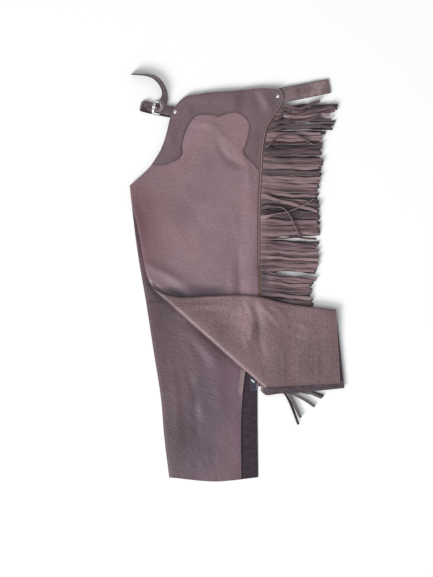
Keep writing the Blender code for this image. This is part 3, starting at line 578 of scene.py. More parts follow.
def shin_sides(leg, half):
    """Side lines of a shin half, from the knee seam down."""
    knee = KNEE_Y - SEAM_GAP / 2
    hem = HEM[leg, half]
    first = float(hem[0][1])

    def near(t):
        y = knee + (first - knee) * t
        return np.stack([inseam(leg, y) + FOLD_REACH, y], axis=-1)

    def far(t):
        y = knee + (hem[-1][1] - knee) * t
        return np.stack([through(OUTSEAM[leg, half], y), y], axis=-1)

    def start(c):
        a, b = near(np.zeros(1)), far(np.zeros(1))
        return a + (b - a) * np.asarray(c)[..., None]

    def end(c):
        a, b = near(np.ones(1))[0], far(np.ones(1))[0]
        x = a[0] + (b[0] - a[0]) * np.asarray(c)
        return np.stack([x, through(hem, x)], axis=-1)

    return near, far, start, end


def row_shares(sides, c, rows, keys, least):
    """Row places for each column, with rows at the key distances past the fold axis."""
    if not len(keys):
        return np.repeat(np.asarray(rows)[:, None], len(c), axis=1)
    fine = np.linspace(0.0, 1.0, 600)
    grid_t, grid_c = np.meshgrid(fine, c, indexing="ij")
    points = four_sides(*sides, grid_c, grid_t)
    past = fold_place(points[..., 0], points[..., 1])[0]
    shares = np.zeros((len(keys) + len(rows), len(c)))
    for column in range(len(c)):
        line = past[:, column]
        order = np.argsort(line)
        places = np.sort(np.interp(keys, line[order], fine[order]))
        for k, place in enumerate(places):
            before = shares[k - 1, column] + least if k else 0.0
            shares[k, column] = max(place, before) if k else 0.0
        last = shares[len(keys) - 1, column]
        shares[len(keys):, column] = last + (1.0 - last) * np.asarray(rows)
    return shares


def fold_row(sides, y):
    """Height of a row where it meets the inseam fold: the crotch corner sits lower."""
    start = sides[0](np.zeros(1))[0, 1]
    end = sides[0](np.ones(1))[0, 1]
    share = (y - start) / (end - start)
    goal = CROTCH_Y if end > start else end
    return start + (goal - start) * share


def leg_grid(leg, sides_of, columns, near_columns, rows, keys, least, offset):
    """Point grid of a wrapped piece from the front outseam to the back one, and its flat cut."""
    blocks = []
    cut = []
    for half in ("front", "back"):
        sides = sides_of(leg, half)
        c = np.asarray(columns[half], float)
        t = row_shares(sides, c, rows, keys, least)
        grid = four_sides(*sides, np.broadcast_to(c, t.shape), t)
        x, y = grid[..., 0], grid[..., 1]
        blocks.append(np.stack(leg_surface(leg, half, x, y, x * 0 + FOLD_REACH, offset), -1))
        cut.append(grid)
        folds = []
        for near in near_columns:
            share = near / FOLD_REACH
            middle_y = fold_row(sides, y[:, :1])
            fy = middle_y + (y[:, :1] - middle_y) * share
            fx = inseam(leg, fy) + near
            folds.append(np.stack(leg_surface(leg, half, fx, fy, fx * 0 + near, offset), -1))
        blocks.append(np.concatenate(folds, axis=1))
    front, front_fold, back, back_fold = blocks
    grid = np.concatenate([front[:, ::-1], front_fold[:, ::-1], back_fold[:, 1:], back], axis=1)
    return grid, cut


def flat_area(grid):
    """Area of a flat point grid, in square millimetres."""
    a = grid[1:, 1:] - grid[:-1, :-1]
    b = grid[1:, :-1] - grid[:-1, 1:]
    return float(np.abs(a[..., 0] * b[..., 1] - a[..., 1] * b[..., 0]).sum() / 2)


def wall(outer, inner):
    """Closed wall between two point grids: points, faces and the side that each face is on."""
    rows, columns = outer.shape[:2]
    count = rows * columns
    points = np.concatenate([outer.reshape(-1, 3), inner.reshape(-1, 3)])
    number = np.arange(count).reshape(rows, columns)
    a, b = number[:-1, :-1].ravel(), number[:-1, 1:].ravel()
    d, c = number[1:, :-1].ravel(), number[1:, 1:].ravel()
    top = np.column_stack([a, b, c, d])
    bottom = np.column_stack([a, d, c, b]) + count
    loop = np.concatenate([number[0, :], number[1:, -1], number[-1, -2::-1], number[-2:0:-1, 0]])
    after = np.roll(loop, -1)
    rim = np.column_stack([loop, loop + count, after + count, after])
    faces = np.concatenate([top, bottom, rim])
    side = np.concatenate([np.zeros(len(top), int), np.ones(len(bottom), int), np.full(len(rim), 2)])
    return points, faces, side


def outward(points, faces):
    """Turn every face over where the body's volume comes out negative."""
    quads = np.array([tuple(f) if len(f) == 4 else (f[0], f[1], f[2], f[2]) for f in faces])
    a, b, c, d = (points[quads[:, k]] for k in range(4))
    volume = np.einsum("ij,ij->i", a, np.cross(b, c)).sum()
    volume = volume + np.einsum("ij,ij->i", a, np.cross(c, d)).sum()
    if volume < 0.0:
        return [tuple(reversed(f)) for f in faces]
    return faces


def add_piece(name, nodes, points, faces, materials, sides=None, slot=None, sharp=40.0):
    """Make one piece from layout points; it rides on the root body and replaces its solids."""
    points = np.asarray(points, float)
    faces = outward(points, [tuple(int(i) for i in f) for f in faces])
    world = (points - np.array([CENTRE[0], CENTRE[1], 0.0])) * MM
    mesh = bpy.data.meshes.new(name)
    mesh.from_pydata(world.tolist(), [], faces)
    for item in materials:
        mesh.materials.append(item)
    if sides is not None:
        mesh.polygons.foreach_set("material_index", np.asarray(sides, np.int32))
    mesh.shade_smooth()
    mesh.set_sharp_from_angle(angle=math.radians(sharp))
    made = bpy.data.objects.new(name, mesh)
    bpy.context.scene.collection.objects.link(made)
    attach(made, "root")
    if nodes:
        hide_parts(*nodes)
        slot or nodes[0]
    return made


def join(bodies):
    """Join several (points, faces, sides) into one."""
    points, faces, sides = [], [], []
    start = 0
    for body_points, body_faces, body_sides in bodies:
        points.append(np.asarray(body_points, float))
        faces.extend([tuple(int(i) + start for i in f) for f in body_faces])
        sides.extend([int(s) for s in body_sides])
        start += len(body_points)
    return np.concatenate(points), faces, sides


# Materials
def new_material(name):
    """Empty Principled material, with its nodes, links and shader."""
    made = bpy.data.materials.new(name)
    made.use_nodes = True
    tree = made.node_tree
    return made, tree.nodes, tree.links, tree.nodes["Principled BSDF"]


def texture(nodes, links, kind, scale, detail=3.0, stretch=None):
    """Procedural texture in the object's own coordinates, in cycles a metre."""
    place = nodes.new("ShaderNodeTexCoord")
    made = nodes.new(kind)
    made.inputs["Scale"].default_value = scale
    if "Detail" in made.inputs:
        made.inputs["Detail"].default_value = detail
    if stretch:
        mapping = nodes.new("ShaderNodeMapping")
        mapping.inputs["Scale"].default_value = stretch
        links.new(place.outputs["Object"], mapping.inputs["Vector"])
        links.new(mapping.outputs["Vector"], made.inputs["Vector"])
    else:
        links.new(place.outputs["Object"], made.inputs["Vector"])
    return made


def ramp_of(nodes, links, source, rows):
    """Colour ramp over a texture's value: rows of place and colour."""
    made = nodes.new("ShaderNodeValToRGB")
    stops = made.color_ramp.elements
    while len(stops) < len(rows):
        stops.new(0.5)
    for stop, (place, colour) in zip(stops, rows):
        stop.position = place
        stop.color = (*colour, 1.0)
    links.new(source, made.inputs["Fac"])
    return made


def mixed(nodes, links, kind, share, first, second):
    """Mix of two colours; share is a number or a socket."""
    made = nodes.new("ShaderNodeMix")
    made.data_type = "RGBA"
    made.blend_type = kind
    for socket, value in ((made.inputs[0], share), (made.inputs[6], first), (made.inputs[7], second)):
        if hasattr(value, "is_output"):
            links.new(value, socket)
        else:
            socket.default_value = value if isinstance(value, float) else (*value, 1.0)
    return made.outputs[2]


def bump_chain(nodes, links, shader, steps):
    """Bumps on top of each other: rows of socket, strength and height in metres."""
    last = None
    for source, strength, distance in steps:
        bump = nodes.new("ShaderNodeBump")
        bump.inputs["Strength"].default_value = strength
        bump.inputs["Distance"].default_value = distance
        links.new(source, bump.inputs["Height"])
        if last is not None:
            links.new(last, bump.inputs["Normal"])
        last = bump.outputs["Normal"]
    links.new(last, shader.inputs["Normal"])


def shade(colour, factor):
    """A colour made darker or lighter."""
    return tuple(min(1.0, c * factor) for c in colour)


def sweep(nodes, links, angle, start, rows):
    """Tones along one direction of the plan: rows of place in metres and colour factor."""
    place = nodes.new("ShaderNodeTexCoord")
    turned = nodes.new("ShaderNodeMapping")
    turned.inputs["Location"].default_value = (start, 0.0, 0.0)
    turned.inputs["Rotation"].default_value = (0.0, 0.0, math.radians(-angle))
    apart = nodes.new("ShaderNodeSeparateXYZ")
    links.new(place.outputs["Object"], turned.inputs["Vector"])
    links.new(turned.outputs["Vector"], apart.inputs["Vector"])
    return ramp_of(nodes, links, apart.outputs["X"], rows).outputs[0]


def spot(nodes, links, x, y, half_length, half_width, angle, colour):
    """Soft patch of tone at a layout place: full in its middle, gone at its rim; used for painted shade and
    painted highlights as well as tone.
    """
    place = nodes.new("ShaderNodeTexCoord")
    local = nodes.new("ShaderNodeMapping")
    local.vector_type = "TEXTURE"
    local.inputs["Location"].default_value = ((x - CENTRE[0]) * MM, (y - CENTRE[1]) * MM, 0.0)
    local.inputs["Rotation"].default_value = (0.0, 0.0, math.radians(angle))
    local.inputs["Scale"].default_value = (half_length * MM, half_width * MM, 1.0)
    ball = nodes.new("ShaderNodeTexGradient")
    ball.gradient_type = "SPHERICAL"
    links.new(place.outputs["Object"], local.inputs["Vector"])
    links.new(local.outputs["Vector"], ball.inputs["Vector"])
    made = ramp_of(nodes, links, ball.outputs["Fac"], [(0.0, (1.0,) * 3), (0.9, colour)])
    made.color_ramp.interpolation = "EASE"
    return made.outputs[0]


def grain_leather(name, colour, warm, roughness, grain=1.0, sweeps=(), spots=()):
    """Smooth grain leather: soft patches of tone, painted shade and highlights from the sweeps and spots,
    fine pebble grain, small wrinkles and wear.
    """
    made, nodes, links, shader = new_material(name)
    patches = texture(nodes, links, "ShaderNodeTexNoise", 7.0, 5.0)
    patch_tone = ramp_of(nodes, links, patches.outputs[0], [
        (0.32, shade(colour, 0.82)), (0.5, colour), (0.68, shade(colour, 1.16))])
    warmth = texture(nodes, links, "ShaderNodeTexNoise", 4.1, 3.0)
    warm_share = ramp_of(nodes, links, warmth.outputs[0], [(0.4, (0.0,) * 3), (0.64, (0.75,) * 3)])
    tone = mixed(nodes, links, "MIX", warm_share.outputs[0], patch_tone.outputs[0], warm)
    mottle = texture(nodes, links, "ShaderNodeTexNoise", 210.0, 5.0)
    mottle_tone = ramp_of(nodes, links, mottle.outputs[0], [
        (0.32, (0.9 - 0.1 * grain,) * 3), (0.68, (1.0 + 0.08 * grain,) * 3)])
    tone = mixed(nodes, links, "MULTIPLY", 0.9, tone, mottle_tone.outputs[0])
    # painted shade and highlights: tone sweeps along the panels and patches at given places
    for angle, start, rows in sweeps:
        tone = mixed(nodes, links, "MULTIPLY", 1.0, tone, sweep(nodes, links, angle, start, rows))
    for row in spots:
        tone = mixed(nodes, links, "MULTIPLY", 1.0, tone, spot(nodes, links, *row))
    pores = texture(nodes, links, "ShaderNodeTexVoronoi", 620.0)
    pores.feature = "DISTANCE_TO_EDGE"
    wrinkles = texture(nodes, links, "ShaderNodeTexNoise", 90.0, 6.0, (1.0, 1.6, 1.0))
    pebbles = texture(nodes, links, "ShaderNodeTexNoise", 330.0, 2.0)
    shine = texture(nodes, links, "ShaderNodeTexNoise", 24.0, 6.0)
    rough = ramp_of(nodes, links, shine.outputs[0], [
        (0.32, (roughness - 0.09,) * 3), (0.68, (roughness + 0.08,) * 3)])
    links.new(tone, shader.inputs["Base Color"])
    links.new(rough.outputs[0], shader.inputs["Roughness"])
    shader.inputs["Specular IOR Level"].default_value = 0.55
    bump_chain(nodes, links, shader, [
        (wrinkles.outputs[0], 0.4, 0.0016), (pebbles.outputs[0], 0.3 * grain, 0.0012),
        (pores.outputs["Distance"], 0.35, 0.0005)])
    return made


def suede(name, colour):
    """Flesh side of the leather: matt, with a brushed nap."""
    made, nodes, links, shader = new_material(name)
    nap = texture(nodes, links, "ShaderNodeTexNoise", 60.0, 6.0, (1.0, 2.2, 1.0))
    tone = ramp_of(nodes, links, nap.outputs[0], [
        (0.3, shade(colour, 0.72)), (0.52, colour), (0.72, shade(colour, 1.4))])
    fibre = texture(nodes, links, "ShaderNodeTexNoise", 1500.0, 2.0)
    links.new(tone.outputs[0], shader.inputs["Base Color"])
    shader.inputs["Roughness"].default_value = 0.93
    shader.inputs["Specular IOR Level"].default_value = 0.2
    shader.inputs["Sheen Weight"].default_value = 0.25
    shader.inputs["Sheen Roughness"].default_value = 0.5
    bump_chain(nodes, links, shader, [(nap.outputs[0], 0.3, 0.001), (fibre.outputs[0], 0.5, 0.0003)])
    return made


def cut_edge(name, colour):
    """Raw cut edge of leather: lighter, fibrous in layers."""
    made, nodes, links, shader = new_material(name)
    fibre = texture(nodes, links, "ShaderNodeTexNoise", 500.0, 4.0, (1.0, 1.0, 4.0))
    tone = ramp_of(nodes, links, fibre.outputs[0], [(0.3, shade(colour, 0.7)), (0.7, shade(colour, 1.2))])
    links.new(tone.outputs[0], shader.inputs["Base Color"])
    shader.inputs["Roughness"].default_value = 0.8
    bump_chain(nodes, links, shader, [(fibre.outputs[0], 0.4, 0.0004)])
    return made


def metal(name, colour):
    """Polished white metal with faint wear."""
    made, nodes, links, shader = new_material(name)
    wear = texture(nodes, links, "ShaderNodeTexNoise", 300.0, 4.0)
    rough = ramp_of(nodes, links, wear.outputs[0], [(0.35, (0.3,) * 3), (0.7, (0.46,) * 3)])
    tone = ramp_of(nodes, links, wear.outputs[0], [(0.3, shade(colour, 0.9)), (0.7, colour)])
    links.new(tone.outputs[0], shader.inputs["Base Color"])
    links.new(rough.outputs[0], shader.inputs["Roughness"])
    shader.inputs["Metallic"].default_value = 1.0
    bump_chain(nodes, links, shader, [(wear.outputs[0], 0.08, 0.0002)])
    return made


def woven(name, colour):
    """Woven zip tape, with fine ribs across it."""
    made, nodes, links, shader = new_material(name)
    ribs = texture(nodes, links, "ShaderNodeTexWave", 420.0, 0.0)
    ribs.bands_direction = "Y"
    tone = ramp_of(nodes, links, ribs.outputs[0], [(0.2, shade(colour, 0.7)), (0.8, shade(colour, 1.35))])
    links.new(tone.outputs[0], shader.inputs["Base Color"])
    shader.inputs["Roughness"].default_value = 0.75
    bump_chain(nodes, links, shader, [(ribs.outputs[0], 0.5, 0.0003)])
    return made


def thread(name, colour):
    """Twisted sewing thread."""
    made, nodes, links, shader = new_material(name)
    twist = texture(nodes, links, "ShaderNodeTexNoise", 1800.0, 1.0)
    tone = ramp_of(nodes, links, twist.outputs[0], [(0.3, shade(colour, 0.75)), (0.7, shade(colour, 1.2))])
    links.new(tone.outputs[0], shader.inputs["Base Color"])
    shader.inputs["Roughness"].default_value = 0.6
    bump_chain(nodes, links, shader, [(twist.outputs[0], 0.3, 0.0002)])
    return made


def plain(name, colour, roughness):
    """Plain surface for the floor, and the painted shade of the strap holes."""
    made, nodes, links, shader = new_material(name)
    shader.inputs["Base Color"].default_value = (*colour, 1.0)
    shader.inputs["Roughness"].default_value = roughness
    return made


THIGH_TONE = (0.23, 0.148, 0.167)
THIGH_WARM = (0.241, 0.143, 0.159)
SHIN_TONE = (0.106, 0.058, 0.077)
SHIN_WARM = (0.118, 0.058, 0.068)
FOLDED_TONE = (0.188, 0.118, 0.131)
FOLDED_WARM = (0.2, 0.12, 0.127)
YOKE_TONE = (0.15, 0.098, 0.111)
YOKE_WARM = (0.162, 0.102, 0.112)
FRINGE_TONE = (0.165, 0.1, 0.113)
FRINGE_WARM = (0.2, 0.122, 0.132)
BAND_TONE = (0.1, 0.05, 0.044)
STRAP_TONE = (0.12, 0.083, 0.092)
BELT_TONE = (0.186, 0.132, 0.139)
SUEDE_TONE = (0.04, 0.026, 0.035)
STRIP_TONE = (0.085, 0.06, 0.074)

# Tones that change along the panels, partly painted shade and painted sheen: angle, start, rows of place and
# factor
THIGH_TONE_AND_SHADE_SWEEPS = [
    # darker and redder towards the inseam at the left: partly tone, partly painted shade where less sheen
    # falls
    (0.0, 0.28, [(0.0, (0.74, 0.68, 0.69)), (0.05, (0.86, 0.8, 0.81)), (0.13, (1.0,) * 3),
                 (0.27, (1.0,) * 3), (0.32, (1.04,) * 3)]),
    # painted shadow of the folded shin near its top edge, and lighter towards the top
    (90.0, 0.53, [(0.46, (0.8,) * 3), (0.52, (0.96,) * 3), (0.78, (0.97,) * 3), (0.88, (1.1,) * 3)]),
]
SHIN_TONE_AND_SHEEN_SWEEPS = [
    # painted sheen: lighter towards the outseam at the right
    (0.0, 0.28, [(0.0, (0.95, 0.92, 0.9)), (0.12, (0.95,) * 3), (0.25, (1.16,) * 3), (0.3, (1.05,) * 3)]),
]
FOLDED_SWEEPS = [
    (0.0, 0.28, [(0.0, (1.0,) * 3), (0.3, (1.06,) * 3), (0.38, (0.9,) * 3), (0.52, (0.84,) * 3)]),
]

# Patches of tone, most of them painted shade and painted highlights: layout x, y, half length, half width,
# direction, factor
THIGH_TONE_AND_LIGHT_SPOTS = [
    # painted shadow cast by the folded shin above its top edge
    (190, 478, 130, 54, 0, (0.46, 0.43, 0.54)),
    # painted shade in the valley near the outseam
    (283, 512, 44, 11, 90, (0.78, 0.76, 0.8)),
    (96, 540, 70, 34, -28, (0.95, 0.95, 0.97)),
    # darker and redder along the inseam edge: partly tone, partly painted shade where less sheen falls
    (20, 650, 160, 60, 82, (0.82, 0.74, 0.77)),
    (222, 884, 90, 70, 20, (1.03, 1.06, 1.04)),
    # painted shade in the creases below the yoke
    (228, 905, 44, 14, -30, (0.82, 0.8, 0.8)),
    (262, 820, 60, 15, -20, (0.84, 0.82, 0.82)),
    (150, 700, 90, 46, 60, (0.93, 0.92, 0.93)),
    # painted highlight
    (236, 690, 110, 34, 84, (1.07, 1.08, 1.1)),
    # painted shade in the crease and the shadow above the fold at the lower left
    (70, 508, 24, 4, -42, (0.36, 0.31, 0.35)),
    (124, 490, 44, 13, -24, (0.4, 0.36, 0.44)),
]
SHIN_TONE_AND_LIGHT_SPOTS = [
    # painted highlights: bluish sheen
    (226, 292, 76, 46, -58, (1.15, 1.13, 1.2)),
    (276, 170, 200, 34, 92, (1.34, 1.46, 1.52)),
    (130, 120, 120, 60, 90, (0.8, 0.76, 0.74)),
    (200, 60, 70, 50, 0, (0.77, 0.74, 0.78)),
    (180, 130, 130, 100, 40, (0.82, 0.77, 0.84)),
    (170, 230, 80, 26, 70, (0.86, 0.84, 0.88)),
    # painted shade in the gap beside the upper leg's inseam edge, by the fold's corner and along the
    # diagonal fold
    (21, 640, 150, 8, 101, (0.5, 0.45, 0.48)),
    (64, 492, 56, 14, -52, (0.4, 0.34, 0.39)),
    (198, 370, 210, 10, -41.6, (0.66, 0.62, 0.66)),
]
FOLDED_TONE_AND_LIGHT_SPOTS = [
    # painted highlight, then painted shade in the crease beside it
    (288, 408, 90, 34, 84, (1.18, 1.2, 1.22)),
    (334, 392, 46, 26, 84, (0.72, 0.7, 0.72)),
    (124, 458, 50, 20, 0, (0.94, 0.78, 0.8)),
    # painted shade on the bend's corner
    (84, 480, 66, 20, -42, (0.66, 0.58, 0.58)),
    # painted highlight along the top edge
    (200, 475, 84, 5, 3.3, (1.4, 1.34, 1.32)),
    (192, 461, 78, 7, -1, (0.78, 0.66, 0.66)),
    # painted shade in the crease below the top edge
    (122, 456, 22, 3.4, 8, (0.66, 0.6, 0.62)),
    # painted highlight
    (162, 446, 46, 5, -5, (1.14, 1.13, 1.14)),
    # painted shade in the corner by the zip end
    (344, 232, 14, 16, 0, (0.3, 0.3, 0.34)),
    (376, 425, 60, 20, -40, (1.16, 1.16, 1.2)),
    (480, 300, 120, 60, 90, (0.86, 0.86, 0.84)),
    (206, 432, 80, 20, 0, (0.88, 0.86, 0.88)),
    (420, 300, 80, 14, 88, (1.12, 1.12, 1.12)),
]
YOKE_TONE_AND_LIGHT_SPOTS = [
    # painted reflection, then painted shade in the trough beside it
    (345, 990, 60, 20, 108, (1.28, 1.32, 1.34)),
    (286, 990, 40, 22, 80, (0.72, 0.72, 0.76)),
    (160, 985, 70, 18, 10, (1.12, 1.12, 1.12)),
    # painted shade in the crease
    (118, 900, 60, 22, 70, (0.84, 0.82, 0.84)),
    (330, 880, 70, 16, 85, (0.84, 0.83, 0.85)),
]
FRINGE_SHADE_SPOTS = [
    # painted shade where the strands lie in shadow: near the roots, above the folded shin and between the
    # layers
    (346, 866, 74, 15, 0, (0.46, 0.43, 0.47)),
    (352, 474, 110, 24, -9, (0.42, 0.4, 0.43)),
    (346, 536, 24, 78, 0, (0.42, 0.4, 0.42)),
    (398, 500, 60, 10, -10, (0.6, 0.58, 0.6)),
    (350, 905, 30, 9, 10, (0.45, 0.42, 0.45)),
    (352, 700, 50, 16, 0, (0.6, 0.58, 0.6)),
]
BELT_TONE_AND_LIGHT_SPOTS = [
    # painted highlight, then darker patches
    (486, 1020, 34, 18, 60, (1.36, 1.34, 1.3)),
    (440, 1012, 24, 30, 20, (0.78, 0.76, 0.78)),
    (462, 1016, 16, 26, 20, (0.84, 0.82, 0.84)),
    (508, 1012, 20, 14, 60, (0.78, 0.74, 0.74)),
]
LACE_SHADE_SPOTS = [
    # painted shade in the buckle's window and inside the strap's loop
    (75, 973, 12, 12, 0, (0.16, 0.15, 0.17)),
    (36, 966, 16, 9, -20, (0.3, 0.28, 0.3)),
]

THIGH = grain_leather("thigh leather", THIGH_TONE, THIGH_WARM, 0.42, 0.8, THIGH_TONE_AND_SHADE_SWEEPS, THIGH_TONE_AND_LIGHT_SPOTS)
SHIN = grain_leather("shin leather", SHIN_TONE, SHIN_WARM, 0.4, 0.8, SHIN_TONE_AND_SHEEN_SWEEPS, SHIN_TONE_AND_LIGHT_SPOTS)
FOLDED = grain_leather("folded shin leather", FOLDED_TONE, FOLDED_WARM, 0.45, 2.2, FOLDED_SWEEPS,
                       FOLDED_TONE_AND_LIGHT_SPOTS)
YOKE_SKIN = grain_leather("yoke leather", YOKE_TONE, YOKE_WARM, 0.42, 1.2, (), YOKE_TONE_AND_LIGHT_SPOTS)
FRINGE_SKIN = grain_leather("fringe leather", FRINGE_TONE, FRINGE_WARM, 0.55, 1.0, (), FRINGE_SHADE_SPOTS)
# pale and deep copies of the fringe leather: random tone, and also painted light and painted shade on whole
# strands; the dim copy is painted shade for the lower fringe
FRINGE_PALE_TONE_AND_LIGHT = grain_leather("pale fringe leather", (0.23, 0.146, 0.16), FRINGE_WARM, 0.5,
                            1.0, (), FRINGE_SHADE_SPOTS)
FRINGE_DEEP_TONE_AND_SHADE = grain_leather("deep fringe leather", (0.08, 0.047, 0.055), (0.1, 0.06, 0.068),
                            0.6, 1.0, (), FRINGE_SHADE_SPOTS)
FRINGE_IN_SHADE = grain_leather("dim fringe leather", (0.05, 0.036, 0.043), (0.062, 0.043, 0.05), 0.62)
BAND_SKIN = grain_leather("backing leather", BAND_TONE, shade(BAND_TONE, 1.15), 0.6)
STRAP_SKIN = grain_leather("strap leather", shade(STRAP_TONE, 0.8), shade(STRAP_TONE, 0.93), 0.4)
LACE_SKIN = grain_leather("lace leather", shade(STRAP_TONE, 1.26), shade(STRAP_TONE, 1.38), 0.4, 1.0, (),
                          LACE_SHADE_SPOTS)
BELT_SKIN = grain_leather("belt leather", BELT_TONE, shade(BELT_TONE, 1.25), 0.34, 2.5, (), BELT_TONE_AND_LIGHT_SPOTS)
SUEDE = suede("suede", SUEDE_TONE)
SUEDE_STRIP = suede("brushed suede", STRIP_TONE)
EDGE = cut_edge("cut edge", (0.26, 0.19, 0.175))
DARK_EDGE = cut_edge("dyed edge", (0.04, 0.026, 0.029))
# pale cut edge: the raw edge's colour on the strands, and painted highlight on the yoke and backing edge
# lines
PALE_EDGE_AND_HIGHLIGHT = cut_edge("pale edge", (0.38, 0.3, 0.295))
METAL = metal("white metal", (0.95, 0.95, 0.97))
TEETH = metal("dark zip metal", (0.16, 0.15, 0.17))
TAPE_CLOTH = woven("zip tape", (0.035, 0.034, 0.055))
# painted highlight along the end of the zip tape
TAPE_EDGE_HIGHLIGHT = woven("tape edge", (0.2, 0.22, 0.28))
THREAD_DARK = thread("dark thread", (0.05, 0.035, 0.045))
THREAD_BROWN = thread("brown thread", (0.13, 0.09, 0.1))
# near-black plain surface: painted shade standing in for the depth of the strap holes
HOLE_SHADE = plain("hole", (0.008, 0.006, 0.007), 0.9)


# Leather pieces
def bend_keys(count):
    """Row distances through the bend of the fold."""
    return [math.pi * BEND_RADIUS * k / count for k in range(count + 1)]


def spaced(count, power=1.0):
    """Shares from 0 to 1 in even steps."""
    return np.linspace(0.0, 1.0, count) ** power


def add_leg(leg, part):
    """Thigh or shin of one leg as a thin shell with grain, flesh side and cut edges."""
    near_columns = [FOLD_REACH * k / 6 for k in range(6)]
    name = f"leg_{leg}_{part}"
    visible = "front" if (leg, part) == ("over", "thigh") else "back"
    fine = {"over": 100, "under": 76}[leg]
    coarse = {"front": 34, "back": 26}
    columns = {half: spaced(fine if half == visible else coarse[half]) for half in coarse}
    if leg == "over" and part == "thigh":
        columns["back"] = spaced(24)
    sides_of = thigh_sides if part == "thigh" else shin_sides
    keys, rows, least = [], spaced(104), 0.0
    if leg == "over":
        keys = bend_keys(12)
        rows = spaced(150)[1:] if part == "thigh" else spaced(92)[1:]
        least = 0.0022
    if (leg, part) == ("over", "shin"):
        keys = [-6.0 * k for k in range(34, 0, -1)] + keys
    if (leg, part) == ("under", "thigh"):
        rows = spaced(70)
    outer, cut = leg_grid(leg, sides_of, columns, near_columns, rows, keys, least, LEATHER / 2)
    inner, _ = leg_grid(leg, sides_of, columns, near_columns, rows, keys, least, -LEATHER / 2)
    points, faces, side = wall(outer, inner)
    grain = {("over", "thigh"): THIGH, ("over", "shin"): FOLDED}.get((leg, part), SHIN)
    flesh = SUEDE_STRIP if (leg, part) == ("over", "shin") else SUEDE
    made = add_piece(f"{leg}_{part}", [name], points, faces, [grain, flesh, EDGE], side)
    area = sum(flat_area(grid) for grid in cut) * MM * MM
    width = sum(float(np.ptp(grid[..., 0])) for grid in cut) * MM
    length = max(float(np.ptp(grid[..., 1])) for grid in cut) * MM
    return made


def yoke_grid(count, across, height_of, kind, thickness):
    """Wall of a yoke between its outer edge and its scallop."""
    shares = np.linspace(0.0, 1.0, count)
    a = along(YOKE_EDGE, shares)
    b = along(SCALLOP, shares)
    v = np.linspace(0.0, 1.0, across)[None, :, None]
    plan = a[:, None, :] * (1.0 - v) + b[:, None, :] * v
    x, y = plan[..., 0], plan[..., 1]
    base = height_of(x, y)
    top = base + thickness
    if kind:
        top = top + yoke_relief(x, y)
    return np.dstack([x, y, top]), np.dstack([x, y, base]), plan


def upper_front_top(x, y):
    """Top of the upper leg's front half, creases included."""
    return upper_leg_heights(x, y)[1] + LEATHER / 2 + crease_height("over", x, y)


def yoke_top(x, y):
    """Grain side of the upper leg's yoke."""
    return upper_front_top(x, y) + PATCH_GAP + YOKE + yoke_relief(x, y)


def add_yokes():
    """Scalloped yoke of each leg."""
    made = []
    for name, height_of, kind in (
            ("yoke_over", lambda x, y: upper_front_top(x, y) + PATCH_GAP, "yoke"),
            ("yoke_under", lambda x, y: x * 0.0, None)):
        top, base, plan = yoke_grid(220, 30, height_of, kind, YOKE)
        points, faces, side = wall(top, base)
        piece = add_piece(f"{name}_skin", [name], points, faces, [YOKE_SKIN, SUEDE, DARK_EDGE], side)
        area = flat_area(plan) * MM * MM
        made.append(piece)
    return made


# Fringe
def fringe_root(leg, y):
    """Inner edge of the backing strip, just outside the front half's edge."""
    curved = ramp(y, CURVE_SPANS[0]) + ramp(y, CURVE_SPANS[1])
    return through(OUTSEAM[leg, "front"], y) + SEAM_GAP + CURVE_ROOM * curved


def fringe_shift(y):
    """Sideways shift that opens the gaps between strands."""
    shift = np.zeros(np.shape(y))
    for place, opening, reach in FRINGE_GAPS:
        shift = shift + opening * np.sign(y - place) * np.exp(-np.abs(y - place) / reach)
    return shift


def band_height(leg, x, y):
    """Middle of the backing strip, level with the front half that it is sewn to."""
    if leg == "over":
        return upper_leg_heights(x, y)[1]
    return lower_leg_heights(x, y)[0]


def strand_body(path, width, thickness, turns, tone):
    """One strand: a flat eight-sided section along a path, turned about it."""
    tangent = np.gradient(path, axis=0)
    tangent = tangent / np.linalg.norm(tangent, axis=1)[:, None]
    across = np.cross([0.0, 0.0, 1.0], tangent)
    across = across / np.linalg.norm(across, axis=1)[:, None]
    up = np.cross(tangent, across)
    c, s = np.cos(turns)[:, None], np.sin(turns)[:, None]
    wide = across * c + up * s
    thick = up * c - across * s
    section = [(0.5, 0.3), (0.4, 0.5), (-0.4, 0.5), (-0.5, 0.3), (-0.5, -0.3), (-0.4, -0.5),
               (0.4, -0.5), (0.5, -0.3)]
    rings = [path + wide * width[:, None] * u + thick * thickness * v for u, v in section]
    points = np.stack(rings, axis=1).reshape(-1, 3)
    n = len(section)
    faces, sides = [], []
    for i in range(len(path) - 1):
        for k in range(n):
            m = (k + 1) % n
            faces.append((n * i + k, n * i + n + k, n * i + n + m, n * i + m))
            sides.append((tone, tone, tone, 2, 1, 1, 1, 2)[k])
    first = tuple(range(n))
    last = tuple(n * (len(path) - 1) + k for k in range(n))[::-1]
    for cap in (first, last):
        faces.append((cap[0], cap[1], cap[2], cap[3]))
        faces.append((cap[0], cap[3], cap[4], cap[7]))
        faces.append((cap[4], cap[5], cap[6], cap[7]))
        sides.extend([2, 2, 2])
    return points, faces, sides


